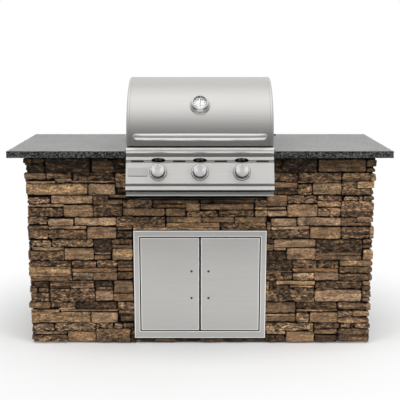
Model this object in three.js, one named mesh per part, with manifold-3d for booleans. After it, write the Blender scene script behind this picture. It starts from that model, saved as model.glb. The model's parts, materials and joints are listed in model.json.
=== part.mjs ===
// Outdoor kitchen island: a stone-clad base with a granite top, a pair of steel doors
// and a drop-in gas grill. Millimetres, +Z up: x to the right, y to the back, and until
// the last lines y is zero at the front edge of the countertop.
import * as THREE from "three";
import { mergeVertices } from "three/addons/utils/BufferGeometryUtils.js";
import Module from "manifold-3d";

const wasm = await Module();
wasm.setup();

// General values
const fit = 0.3; // gap between two pieces that touch
const overrun = 2; // how far a cutter runs past what it cuts
const weld = 1e-4; // vertices closer than this are one
const roundSides = 24;
const smallSides = 12;
const degree = Math.PI / 180;

// Countertop
const counterWidth = 1702;
const counterDepth = 658;
const counterHeight = 914;
const counterThickness = 30;
const cutoutWidth = 610;
const cutoutDepth = 510;

// Stone wall
const sideOverhang = 68;
const frontOverhang = 65;
const rearOverhang = 63;
const wallWidth = counterWidth - 2 * sideOverhang;
const wallFront = frontOverhang;
const wallRear = counterDepth - rearOverhang;
const wallFoot = 8;
const veneerThickness = 28;
const slabThickness = 12;
const stoneRelief = 9;
const stoneProud = 5;
const slabInset = 5;
const stoneBite = 3;
const courseHeight = 101;
const stoneJoint = 4;
const leastStoneShare = 0.145; // of a course's height, on the front
const leastPlainShare = 0.325; // and on the sides and back
const reliefShares = [0.5, 0.85, 0.3, 1, 0.65];
const recessBottom = 683;
const doorwayTop = 541;
const doorwayBottom = 26.3;

// Boards and the frame inside
const boardThickness = 12.5;
const railSize = 40;
const postLeg = 50;
const postWall = 4;
const doorPostWidth = 38;
const shelfThickness = 16;
const shelfBelowRecess = 3;
const floorThickness = 12;

// Doors
const frameClearance = 1.5;
const frameWidth = cutoutWidth - 2 * frameClearance;
const frameSide = 27;
const frameTop = 29.5;
const frameBottom = 35;
const frameSheet = 2;
const doorGap = 2.7;
const doorSheet = 1.5;
const doorDepth = 20;
const doorMeeting = 5;
const doorPivotInset = 5;
const hingeRodRadius = 2.5;
const hingeRodEnd = 6;
const handleHoleX = 39;
const handleHoleLow = 221;
const handleHoleHigh = 349;
const handleHoleRadius = 2.6;
const catchWidth = 30;
const catchHeight = 14;
const catchDepth = 7;

// Grill body
const grillOverlap = 14;
const flangeOverlap = 24;
const grillWidth = cutoutWidth + 2 * grillOverlap;
const flangeWidth = cutoutWidth + 2 * flangeOverlap;
const curbInset = 2;
const lugOut = 2;
const flangeThickness = 3;
const flangeBehind = 30;
const fireboxClearance = 5;
const fireboxFront = -30;
const curbRise = 27;
const fireboxRim = counterHeight + curbRise;
const fireboxDepth = 176;
const fireboxBottom = fireboxRim - fireboxDepth;
const fireboxWall = 3;
const hoodRise = 59;
const hoodHeight = fireboxRim + hoodRise;
const hoodLug = 45;
const ledgeDepth = 20;
const ledgeThickness = 8;
const grateDrop = 56;
const grateLedge = fireboxRim - grateDrop;
const tamerDrop = 47;
const tamerLedge = grateLedge - tamerDrop;
const greaseWidth = 60;
const greaseEnd = 60;

// Drip tray
const trayInset = 20;
const trayWidth = cutoutWidth - 2 * trayInset;
const trayGap = 8;
const trayTop = fireboxBottom - trayGap;
const trayDepth = 24;
const trayBottom = trayTop - trayDepth;
const trayFlange = 8;
const traySheet = 2;
const trayBack = 465;
const trayFrontY = -94;
const trayFrontWidth = grillWidth;
const trayFrontDrop = 6;
const trayFrontTop = trayTop - trayFrontDrop;
const trayFrontSheet = 3;
const railLedge = 10;
const railWeb = 4;

// Control panel
const slopeTopY = -59;
const slopeAngle = 24.3 * degree;
const panelSheet = 2;
const panelDrop = 4;
const panelTopZ = fireboxRim - panelDrop;
const panelBottomDrop = 1;
const panelBottomZ = fireboxBottom - panelBottomDrop;
const bullnoseRadius = 13;
const slopeTopDrop = 35;
const slopeTopZ = panelTopZ - slopeTopDrop;
const upperGrooveTop = panelTopZ - 2 * bullnoseRadius;
const upperGrooveHeight = 13;
const upperBandTop = upperGrooveTop - upperGrooveHeight;
const upperBandHeight = 12;
const channelTop = upperBandTop - upperBandHeight;
const channelHeight = 13;
const faceTop = channelTop - channelHeight;
const lowerBandHeight = 15;
const lowerBandTop = panelBottomZ + lowerBandHeight;
const lowerGrooveHeight = 11;
const faceBottom = lowerBandTop + lowerGrooveHeight;
const grooveDepth = 8;
const channelDepth = 5;
const channelFootDepth = 8;
const slotCount = 7;
const slotLength = 54;
const slotHeight = 6;
const slotDepth = 30;
const ovalWidth = 62;
const ovalHeight = 20;
const ovalDrop = 2;
const knobDrop = 36;
const knobZ = faceTop - knobDrop;
const spindleHoleRadius = 8;

// Knobs, bezels, spindles
const bezelRadius = 38;
const bezelBore = 30.5;
const bezelThickness = 5;
const knobBaseRadius = 29.5;
const knobFaceRadius = 28;
const knobHeight = 30;
const knobLift = 3.6;
const knobBoreDepth = 20;
const knobCup = 4;
const spindleRadius = 4;
const spindleReach = 18;
const spindleTail = 24;

// Name plate
const plateInset = 9;
const plateLeft = plateInset - grillWidth / 2;
const plateWidth = 84;
const plateHeight = 36;
const plateThickness = 2.4;
const plateGap = 8;
const knobPitch = grillWidth / 2 - plateInset - plateWidth - plateGap - bezelRadius;
const slotPitch = knobPitch / 2;

// Gas parts
const manifoldBehind = 50;
const manifoldRadius = 10;
const manifoldInset = 55;
const manifoldLength = cutoutWidth - 2 * manifoldInset;
const valveRadius = 13;
const valveLength = 26;
const manifoldFoot = 16;
const burnerRadius = 13;
const burnerBack = 470;
const burnerHoleGap = 2;
const burnerRestDepth = 25;
const tamerWidth = 120;
const tamerRise = 30;
const tamerSheet = 2;

// Cooking grates and warming rack
const grateThickness = 12;
const grateBar = 8;
const grateGap = 16.2;
const grateBorder = 12;
const grateMeeting = 2;
const rackRise = 71;
const rackZ = fireboxRim + rackRise;
const rackWire = 5;
const rackDepth = 120;
const rackRear = 450;
const rackWires = 5;
const rackLegOut = 2;

// Lid
const lidGap = 3;
const lidBottom = fireboxRim + lidGap;
const lidRise = 281;
const lidTop = lidBottom + lidRise;
const lidMiddleY = 252;
const lidFrontReach = 300;
const lidRearReach = 258;
const lidRearLift = 31;
const lidRearBase = lidBottom + lidRearLift;
const lidRearGap = 33;
const lidRearBottom = lidRearBase + lidRearGap;
const lidSheet = 2;
const lidSteps = 12;
const lidEndWidth = 13;
const lidEndRound = 5;
const pivotY = 475;
const pivotZ = lidRearBase;
const pivotRadius = 4;
const pivotSwing = 30;
const stubRadius = 4;
const stubReach = 17;
const stubY = 60;
const stubLift = 36;
const stubZ = lidBottom + stubLift;

// Lid handle
const handleInset = 30;
const handleLength = grillWidth - 2 * handleInset;
const handleLift = 43;
const handleZ = lidBottom + handleLift;
const handleBow = 33;
const handleHeight = 31;
const handleThickness = 24;
const handleEndShare = 0.88;
const handleSteps = 20;

// Thermometer
const dialLift = 170;
const dialZ = lidBottom + dialLift;
const dialDroop = 3.8 * degree;
const dialShare = dialLift / lidRise;
const lidSteepness = Math.atan2(dialShare / lidRise, Math.sqrt(1 - dialShare ** 2) / lidFrontReach);
const dialTilt = lidSteepness - dialDroop;
const dialBaseRadius = 45;
const dialBaseThickness = 7;
const dialCaseRadius = 36.5;
const dialCaseHeight = 18;
const dialInnerRadius = 30;
const dialFloor = 12;
const dialStemRadius = 4;
const dialStemReach = 40;
const lensThickness = 1.5;
const needleLength = 24;
const needleTail = 6;
const needleWidth = 2;
const needleThickness = 1;
const needleHub = 3;
const needleLift = 1.5;
const needleLean = 15 * degree;

// Worked-out places
const wallHalf = wallWidth / 2;
const counterBottom = counterHeight - counterThickness;
const cutoutHalf = cutoutWidth / 2;
const underCounter = counterBottom - fit;
const veneerBack = wallFront + veneerThickness;
const veneerRearBack = wallRear - veneerThickness;
const boardFront = veneerBack + fit;
const boardRear = veneerRearBack - fit;
const boardSide = wallHalf - veneerThickness - fit;
const frameFront = boardFront + boardThickness + fit;
const frameRear = boardRear - boardThickness - fit;
const frameHalf = boardSide - boardThickness - fit;
const postFoot = railSize + fit;
const postTop = underCounter - railSize - fit;
const doorPostX = cutoutHalf + fireboxClearance;
const fireboxHalf = cutoutHalf - fireboxClearance;
const fireboxBack = cutoutDepth - fireboxClearance;
const chamberHalf = fireboxHalf - fireboxWall;
const chamberFront = fireboxFront + fireboxWall;
const chamberBack = fireboxBack - fireboxWall;

// Stones of one mould: [left, right, low, high], the first two as shares of the block's
// width and the others as shares of a course's height. The same moulds come again and
// again over the walls, as cast ledge stone does.
const leftMouldShares = {
  foot: [
    [0.02, 0.215, 0.61, 0.93], [0.23, 0.622, 0.61, 0.97], [0.628, 0.99, 0.74, 0.96],
    [0.01, 0.34, 0.08, 0.38], [0.347, 0.622, 0.08, 0.56], [0.628, 0.955, 0.08, 0.71],
    [0.965, 1, 0.08, 0.71],
  ],
  crack: [
    [-0.015, 0.185, 0.72, 0.98], [0.195, 0.43, 0.72, 0.98], [0.44, 0.83, 0.64, 0.98],
    [0, 0.575, 0.01, 0.49], [0.585, 0.835, 0.01, 0.48], [0.845, 1, 0.62, 0.96],
    [0.845, 1, 0.35, 0.59], [0.865, 1, 0.09, 0.33],
  ],
  slate: [
    [0.015, 0.175, 0.68, 0.97], [-0.005, 0.065, 0.44, 0.65], [0.08, 0.175, 0.46, 0.64],
    [0.01, 0.175, 0.01, 0.42], [0.19, 0.615, 0.78, 0.99], [0.19, 0.62, 0.01, 0.62],
    [0.63, 0.795, 0.69, 0.97], [0.63, 0.795, 0.05, 0.53], [0.808, 0.99, 0.44, 0.99],
    [0.8, 0.99, 0.04, 0.39],
  ],
  long: [
    [-0.005, 0.4, 0.71, 0.94], [-0.005, 0.4, 0.24, 0.68], [0.01, 0.4, 0, 0.2],
    [0.41, 0.635, 0.62, 0.94], [0.645, 0.838, 0.61, 0.96], [0.41, 0.838, 0.42, 0.58],
    [0.41, 0.605, 0.03, 0.39], [0.613, 0.838, 0.04, 0.39], [0.848, 0.99, 0.76, 0.94],
    [0.848, 0.99, 0.48, 0.73], [0.848, 0.99, 0.09, 0.42],
  ],
  tower: [
    [0.02, 0.215, 0.6, 0.88], [0.225, 0.617, 0.61, 0.95], [0.627, 0.79, 0.34, 0.95],
    [0.797, 0.99, 0.71, 0.95], [-0.005, 0.337, 0, 0.39], [0.344, 0.62, 0, 0.52],
    [0.627, 0.78, 0.04, 0.19], [0.8, 0.99, 0, 0.52],
  ],
  steps: [
    [0, 0.185, 0.68, 0.98], [0.195, 0.43, 0.6, 0.89], [0.448, 0.838, 0.6, 0.94],
    [0.845, 1, 0.52, 0.98], [0, 0.19, 0.42, 0.57], [0.567, 0.838, 0, 0.5],
    [0.005, 0.19, 0, 0.39], [0.195, 0.555, 0, 0.39], [0.85, 0.99, 0.02, 0.35],
  ],
  broad: [
    [0.02, 0.215, 0.61, 0.88], [0.23, 0.622, 0.61, 0.95], [0.627, 0.77, 0.77, 0.98],
    [0.63, 0.9, 0.58, 0.74], [0.01, 0.34, 0.01, 0.38], [0.347, 0.622, 0.01, 0.52],
    [0.63, 0.9, 0.03, 0.54], [0.908, 1, 0.4, 0.77], [0.908, 1, 0.06, 0.36],
  ],
  crown: [
    [-0.015, 0.06, 0.44, 0.64], [0.067, 0.17, 0.44, 0.64], [0.01, 0.175, 0.01, 0.42],
    [0.185, 0.6, 0.01, 0.66], [0.625, 0.82, 0.01, 0.53], [0.828, 1, 0.24, 0.66],
    [0.828, 1, 0.01, 0.21],
  ],
};
const rightMouldShares = {
  foot: [
    [0, 0.47, 0.6, 0.97], [0.478, 0.722, 0.73, 0.97], [0.732, 1.015, 0.74, 0.96],
    [0.006, 0.192, 0.08, 0.38], [0.203, 0.47, 0.08, 0.55], [0.478, 0.7, 0.45, 0.67],
    [0.49, 0.7, 0.08, 0.38], [0.71, 1.01, 0.08, 0.7],
  ],
  crack: [
    [0, 0.285, 0.48, 0.96], [0.293, 0.69, 0.64, 0.97], [0.7, 0.962, 0.63, 0.97],
    [0.968, 1.015, 0.62, 0.93], [0, 0.287, 0.05, 0.31], [0.295, 0.423, 0.03, 0.47],
    [0.432, 0.695, 0.01, 0.48], [0.703, 0.84, 0.27, 0.58], [0.847, 1.005, 0.33, 0.58],
    [0.7, 1.005, 0, 0.24],
  ],
  slate: [
    [0, 0.027, 0.01, 0.97], [0.034, 0.092, 0.68, 0.97], [0.1, 0.47, 0.82, 0.99],
    [0.034, 0.464, 0.01, 0.64], [0.478, 0.92, 0.67, 0.97], [0.476, 0.92, 0.02, 0.56],
    [0.93, 1.005, 0.82, 0.97], [0.93, 1.015, 0.25, 0.56], [0.93, 1.005, 0.04, 0.2],
  ],
  long: [
    [0, 0.25, 0.5, 0.98], [0.257, 0.483, 0.64, 0.98], [0.49, 0.695, 0.63, 0.95],
    [0.703, 1.015, 0.73, 0.96], [0.703, 1.015, 0.39, 0.69], [0.257, 0.69, 0.43, 0.59],
    [0, 0.25, 0.02, 0.27], [0.257, 0.456, 0.04, 0.39], [0.463, 0.695, 0.04, 0.4],
    [0.703, 1.02, 0.01, 0.32],
  ],
  tower: [
    [0, 0.063, 0.76, 0.95], [0, 0.063, 0.45, 0.72], [0.07, 0.466, 0.6, 0.93],
    [0.474, 0.914, 0.34, 0.95], [0.922, 1.005, 0.72, 0.95], [0, 0.182, 0.01, 0.38],
    [0.194, 0.466, 0.01, 0.53], [0.474, 0.91, 0, 0.17], [0.922, 1.02, 0, 0.45],
  ],
  steps: [
    [0, 0.034, 0.4, 0.73], [0.042, 0.278, 0.58, 0.9], [0.29, 0.695, 0.59, 0.94],
    [0.703, 0.843, 0.75, 0.94], [0.85, 1.005, 0.76, 0.99], [0.042, 0.402, 0, 0.39],
    [0.412, 0.7, 0, 0.5], [0.71, 0.973, 0, 0.5], [0.981, 1.02, 0, 0.55],
    [0, 0.034, 0.01, 0.35],
  ],
  broad: [
    [0, 0.184, 0.5, 0.99], [0.193, 0.467, 0.62, 0.95], [0.475, 0.7, 0.73, 0.95],
    [0.728, 0.858, 0.75, 0.91], [0.906, 1.005, 0.75, 0.94], [0, 0.184, 0.03, 0.27],
    [0.192, 0.467, 0.01, 0.54], [0.475, 0.69, 0.46, 0.7], [0.477, 0.69, 0.02, 0.4],
    [0.699, 1.005, 0.01, 0.71],
  ],
  crown: [
    [0, 0.122, 0.28, 0.67], [0, 0.122, 0.01, 0.24], [0.13, 0.46, 0.01, 0.67],
    [0.477, 0.916, 0.04, 0.6], [0.925, 1.015, 0.29, 0.58], [0.925, 1.005, 0.04, 0.2],
  ],
};
const middleMouldShares = {
  lower: [
    [0, 0.239, 0.51, 0.98], [0.251, 0.511, 0.75, 0.98], [0.517, 0.754, 0.76, 0.97],
    [0.76, 0.992, 0.75, 0.98], [0.249, 0.644, 0.52, 0.72], [0.656, 0.992, 0.48, 0.72],
  ],
  upper: [
    [0, 0.144, 0.4, 0.77], [0.156, 0.218, 0.61, 0.77], [0.223, 0.39, 0.61, 0.77],
    [0.397, 0.497, 0.27, 0.61], [0.598, 0.902, 0.62, 0.77], [0.505, 0.898, 0.34, 0.59],
    [0.91, 1, 0.46, 0.77], [0, 0.236, 0.05, 0.37], [0.248, 0.389, 0.05, 0.37],
    [0.402, 0.634, 0.01, 0.24], [0.643, 0.898, 0.02, 0.3], [0.91, 1, 0.03, 0.27],
  ],
};
const frontCourses = ["foot", "crack", "slate", "long", "tower", "steps", "broad", "crack", "crown"];
const sideCourses = ["broad", "steps", "long", "crack", "slate", "broad", "tower", "long", "crown"];
const middleCourses = [null, null, null, null, null, "lower", "upper"];

// Finishes: colour, roughness, metalness
const finishes = {
  granite: ["#6f6a62", 0.45, 0],
  ledgeStone: ["#75604a", 0.9, 0],
  cementBoard: ["#8d8b85", 0.95, 0],
  galvanised: ["#9a9da0", 0.5, 1],
  stainless: ["#b9b8b4", 0.35, 1],
  darkSteel: ["#3a3836", 0.6, 1],
  castIron: ["#242322", 0.7, 0.6],
  brassFitting: ["#a88a4c", 0.4, 1],
  blackPlastic: ["#1b1b1b", 0.5, 0],
  redPaint: ["#a32a20", 0.5, 0],
  glass: ["#e6eef0", 0.05, 0],
};

const island = new THREE.Group();

// A closed geometry as a solid that can be joined and cut
function toSolid(geometry) {
  const bare = geometry.clone();
  for (const name of Object.keys(bare.attributes)) {
    if (name !== "position") bare.deleteAttribute(name);
  }
  const merged = mergeVertices(bare, weld);
  const corners = merged.index.array;
  const kept = [];
  for (let i = 0; i < corners.length; i += 3) {
    const [a, b, c] = [corners[i], corners[i + 1], corners[i + 2]];
    if (a !== b && b !== c && c !== a) kept.push(a, b, c);
  }
  const vertProperties = new Float32Array(merged.attributes.position.array);
  const triVerts = new Uint32Array(kept);
  return new wasm.Manifold(new wasm.Mesh({ numProp: 3, vertProperties, triVerts }));
}

function toGeometry(solid) {
  const { vertProperties, triVerts } = solid.getMesh();
  const geometry = new THREE.BufferGeometry();
  geometry.setAttribute("position", new THREE.BufferAttribute(new Float32Array(vertProperties), 3));
  geometry.setIndex(new THREE.BufferAttribute(new Uint32Array(triVerts), 1));
  geometry.computeVertexNormals();
  return geometry;
}

function piece(name, solid, finish, parent = island) {
  const [color, roughness, metalness] = finishes[finish];
  const material = new THREE.MeshStandardMaterial({ color, roughness, metalness });
  const mesh = new THREE.Mesh(toGeometry(solid), material);
  mesh.name = name;
  parent.add(mesh);
  return mesh;
}

function block([left, right], [front, back], [low, high]) {
  const geometry = new THREE.BoxGeometry(right - left, back - front, high - low);
  geometry.translate((left + right) / 2, (front + back) / 2, (low + high) / 2);
  return toSolid(geometry);
}

function outline(points) {
  return new THREE.Shape(points.map(([a, b]) => new THREE.Vector2(a, b)));
}

const axisX = new THREE.Vector3(1, 0, 0);
const axisY = new THREE.Vector3(0, 1, 0);
const axisZ = new THREE.Vector3(0, 0, 1);

// A (y, z) outline run along x
function alongX(points, left, right) {
  const geometry = new THREE.ExtrudeGeometry(outline(points), { depth: right - left, bevelEnabled: false });
  geometry.translate(0, 0, left);
  geometry.applyMatrix4(new THREE.Matrix4().makeBasis(axisY, axisZ, axisX));
  return toSolid(geometry);
}

// An (x, y) outline run up z
function alongZ(points, low, high) {
  const geometry = new THREE.ExtrudeGeometry(outline(points), { depth: high - low, bevelEnabled: false });
  geometry.translate(0, 0, low);
  return toSolid(geometry);
}

function rod(start, end, radius, sides = smallSides) {
  const run = end.clone().sub(start);
  const geometry = new THREE.CylinderGeometry(radius, radius, run.length(), sides);
  geometry.translate(0, run.length() / 2, 0);
  geometry.applyQuaternion(new THREE.Quaternion().setFromUnitVectors(axisY, run.clone().normalize()));
  geometry.translate(start.x, start.y, start.z);
  return toSolid(geometry);
}

// A (radius, height) profile turned about the local z axis
function turned(profile, sides = roundSides) {
  const geometry = new THREE.LatheGeometry(profile.map(([r, h]) => new THREE.Vector2(r, h)), sides);
  geometry.rotateX(Math.PI / 2);
  return toSolid(geometry);
}

function at(x, y, z) {
  return new THREE.Vector3(x, y, z);
}

// One stone-faced panel in its own frame: x along the wall, y zero at the nominal face
// and growing into the wall, z up. Stones lower than the least share are left out.
function stonePanel(left, right, slabLeft, slabRight, low, high, leastShare, blocks) {
  const slabFace = veneerThickness - slabThickness;
  let wall = block([slabLeft, slabRight], [slabFace, veneerThickness], [low, high]);
  for (const { from, to, moulds, courses } of blocks) {
    const start = from <= slabLeft ? left : from + stoneJoint / 2;
    const end = to >= slabRight ? right : to - stoneJoint / 2;
    courses.forEach((mould, course) => {
      const base = course * courseHeight;
      (mould ? moulds[mould] : []).forEach(([a, b, c, d], count) => {
        const x0 = Math.max(start, from + a * (to - from));
        const x1 = Math.min(end, from + b * (to - from));
        const z0 = Math.max(low, base + c * courseHeight);
        const z1 = Math.min(high, base + d * courseHeight);
        if (z1 - z0 < leastShare * courseHeight) return;
        const relief = reliefShares[(count + course) % reliefShares.length] * stoneRelief;
        const face = stoneRelief / 2 - relief - (a < 0 || b > 1 ? stoneProud : 0);
        wall = wall.add(block([x0, x1], [face, veneerThickness - stoneBite], [z0, z1]));
      });
    });
  }
  return wall;
}

function countertop() {
  const half = counterWidth / 2;
  const outlinePoints = [
    [-half, 0], [-cutoutHalf, 0], [-cutoutHalf, cutoutDepth], [cutoutHalf, cutoutDepth],
    [cutoutHalf, 0], [half, 0], [half, counterDepth], [-half, counterDepth],
  ];
  piece("countertop", alongZ(outlinePoints, counterBottom, counterHeight), "granite");
}

function stoneWalls() {
  const reach = wallHalf + 2 * stoneRelief;
  const slabHalf = wallHalf - slabInset;
  const leftBlock = { from: -wallHalf, to: -cutoutHalf, moulds: leftMouldShares, courses: frontCourses };
  const rightBlock = { from: cutoutHalf, to: wallHalf, moulds: rightMouldShares, courses: frontCourses };
  const left = stonePanel(-reach, -cutoutHalf, -slabHalf, -cutoutHalf, wallFoot, underCounter,
    leastStoneShare, [leftBlock]);
  const right = stonePanel(cutoutHalf, reach, cutoutHalf, slabHalf, wallFoot, underCounter,
    leastStoneShare, [rightBlock]);
  const inner = cutoutHalf - fit;
  const middleBlock = {
    from: -cutoutHalf, to: cutoutHalf, moulds: middleMouldShares, courses: middleCourses,
  };
  const middle = stonePanel(-inner, inner, -inner, inner, doorwayTop + fit, recessBottom,
    leastStoneShare, [middleBlock]);
  const sill = block([-inner, inner], [stoneRelief / 2, veneerThickness], [wallFoot, doorwayBottom - fit]);
  piece("front_veneer_left", left, "ledgeStone").position.y = wallFront;
  piece("front_veneer_right", right, "ledgeStone").position.y = wallFront;
  piece("front_veneer_middle", middle, "ledgeStone").position.y = wallFront;
  piece("front_veneer_sill", sill, "ledgeStone").position.y = wallFront;

  const sideHalf = (boardRear - boardFront) / 2;
  const sideMiddle = (boardRear + boardFront) / 2;
  for (const [name, side, moulds] of [
    ["left_veneer", -1, rightMouldShares],
    ["right_veneer", 1, leftMouldShares],
  ]) {
    const run = { from: -sideHalf, to: sideHalf, moulds, courses: sideCourses };
    const panel = stonePanel(-sideHalf, sideHalf, -sideHalf, sideHalf, wallFoot, underCounter,
      leastPlainShare, [run]);
    const mesh = piece(name, panel, "ledgeStone");
    mesh.rotation.z = side * Math.PI / 2;
    mesh.position.set(side * wallHalf, sideMiddle, 0);
  }

  const third = wallWidth / 3;
  const rearBlocks = [leftMouldShares, rightMouldShares, leftMouldShares].map((moulds, k) => ({
    from: -wallHalf + k * third,
    to: -wallHalf + (k + 1) * third,
    moulds,
    courses: k === 1 ? frontCourses : sideCourses,
  }));
  const rear = stonePanel(-reach, reach, -slabHalf, slabHalf, wallFoot, underCounter,
    leastPlainShare, rearBlocks);
  const rearMesh = piece("rear_veneer", rear, "ledgeStone");
  rearMesh.rotation.z = Math.PI;
  rearMesh.position.y = wallRear;
}

const sleeveX = frameWidth / 2;
const doorwayHalf = sleeveX - frameSide;
const frameLow = doorwayBottom + fit;
const frameHigh = doorwayTop - fit;
const doorwayLow = frameLow + frameBottom;
const doorwayHigh = frameHigh - frameTop;

function boardsAndFrame() {
  const boardBack = boardFront + boardThickness;
  const heights = [wallFoot, underCounter];
  let front = block([-frameHalf, frameHalf], [boardFront, boardBack], heights);
  const through = [boardFront - overrun, boardBack + overrun];
  front = front.subtract(block([-cutoutHalf, cutoutHalf], through, [recessBottom, counterHeight]));
  front = front.subtract(block([-doorwayHalf, doorwayHalf], through, [doorwayLow, doorwayHigh]));
  piece("front_board", front, "cementBoard");
  piece("rear_board", block([-frameHalf, frameHalf], [boardRear - boardThickness, boardRear], heights),
    "cementBoard");
  for (const [name, side] of [["left_board", -1], ["right_board", 1]]) {
    const across = [side * boardSide, side * (boardSide - boardThickness)].sort((a, b) => a - b);
    piece(name, block(across, [boardFront, boardRear], heights), "cementBoard");
  }

  const inner = frameHalf - railSize;
  const span = [-frameHalf, frameHalf];
  const depth = [frameFront, frameRear];
  const innerDepth = [frameFront + railSize, frameRear - railSize];
  const base = block(span, depth, [0, railSize])
    .subtract(block([-inner, inner], innerDepth, [-overrun, railSize + overrun]));
  piece("bottom_frame", base, "galvanised");
  const topLow = underCounter - railSize;
  const top = block(span, depth, [topLow, underCounter])
    .subtract(block([-inner, inner], innerDepth, [topLow - overrun, counterHeight]))
    .subtract(block([-doorPostX, doorPostX], [boardFront, frameRear - railSize], [topLow - overrun, counterHeight]));
  piece("top_frame", top, "galvanised");

  for (const [sideName, side] of [["left", -1], ["right", 1]]) {
    for (const [endName, outer, inward] of [["front", frameFront, 1], ["rear", frameRear, -1]]) {
      const corner = [side * frameHalf, outer];
      const angle = [
        corner, [side * (frameHalf - postLeg), outer],
        [side * (frameHalf - postLeg), outer + inward * postWall],
        [side * (frameHalf - postWall), outer + inward * postWall],
        [side * (frameHalf - postWall), outer + inward * postLeg],
        [side * frameHalf, outer + inward * postLeg],
      ];
      piece(`${endName}_${sideName}_post`, alongZ(angle, postFoot, postTop), "galvanised");
    }
    const across = [side * doorPostX, side * (doorPostX + doorPostWidth)].sort((a, b) => a - b);
    piece(`${sideName}_door_post`, block(across, [frameFront, frameFront + doorPostWidth],
      [postFoot, postTop]), "galvanised");
  }

  const shelfTop = recessBottom - shelfBelowRecess;
  piece("grill_shelf", block([-doorPostX + fit, doorPostX - fit], depth, [shelfTop - shelfThickness, shelfTop]),
    "cementBoard");
  const floorHalf = frameHalf - postLeg - fit;
  piece("cabinet_floor", block([-floorHalf, floorHalf], [frameFront + doorPostWidth + fit, frameRear],
    [postFoot, postFoot + floorThickness]), "cementBoard");
}

function doors() {
  const frameBack = veneerBack;
  const front = wallFront;
  const ring = (half, low, high, from, to) => block([-half, half], [from, to], [low, high]);
  const channel = ring(sleeveX - frameSheet, frameLow + frameSheet, frameHigh - frameSheet,
    front + frameSheet, frameBack + overrun)
    .subtract(ring(doorwayHalf + frameSheet, doorwayLow - frameSheet, doorwayHigh + frameSheet,
      front, frameBack + overrun));
  let frame = ring(sleeveX, frameLow, frameHigh, front, frameBack)
    .subtract(ring(doorwayHalf, doorwayLow, doorwayHigh, front - overrun, frameBack + overrun))
    .subtract(channel);

  const doorLow = doorwayLow + doorGap;
  const doorHigh = doorwayHigh - doorGap;
  const outer = doorwayHalf - doorGap;
  const pivotX = outer - doorPivotInset;
  const pivotDepth = front + doorPivotInset;
  const rodEnds = [doorwayLow - hingeRodEnd, doorwayHigh + hingeRodEnd];
  for (const [name, side] of [["left", -1], ["right", 1]]) {
    const hole = rod(at(side * pivotX, pivotDepth, rodEnds[0] - overrun),
      at(side * pivotX, pivotDepth, rodEnds[1] + overrun), hingeRodRadius + fit);
    frame = frame.subtract(hole);
    const across = [side * outer, side * doorMeeting / 2].sort((a, b) => a - b);
    const pan = block(across, [front, front + doorDepth], [doorLow, doorHigh])
      .subtract(block([across[0] + doorSheet, across[1] - doorSheet],
        [front + doorSheet, front + doorDepth + overrun], [doorLow + doorSheet, doorHigh - doorSheet]))
      .subtract(hole);
    const drilled = [handleHoleLow, handleHoleHigh].reduce((door, z) => door.subtract(
      rod(at(side * handleHoleX, front - overrun, z), at(side * handleHoleX, front + overrun + doorSheet, z),
        handleHoleRadius)), pan);
    piece(`${name}_door`, drilled, "stainless");
    piece(`${name}_hinge_rod`, rod(at(side * pivotX, pivotDepth, rodEnds[0]),
      at(side * pivotX, pivotDepth, rodEnds[1]), hingeRodRadius), "stainless");
  }
  piece("door_frame", frame, "stainless");
  const catchTop = doorwayHigh - fit;
  piece("door_catch", block([-catchWidth / 2, catchWidth / 2],
    [front + doorDepth + fit, front + doorDepth + fit + catchDepth], [catchTop - catchHeight, catchTop]),
    "blackPlastic");
}

// Places on the sloped face of the control panel
const slopeRun = Math.tan(slopeAngle);
const slopeY = (z) => slopeTopY - (slopeTopZ - z) * slopeRun;
const faceNormal = at(0, -Math.cos(slopeAngle), Math.sin(slopeAngle));
const knobFoot = (x) => at(x, slopeY(knobZ), knobZ);
const offFace = (x, distance) => knobFoot(x).addScaledVector(faceNormal, distance);
const knobPlaces = [["left", -knobPitch], ["middle", 0], ["right", knobPitch]];
const manifoldCentre = offFace(0, -manifoldBehind);

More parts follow.
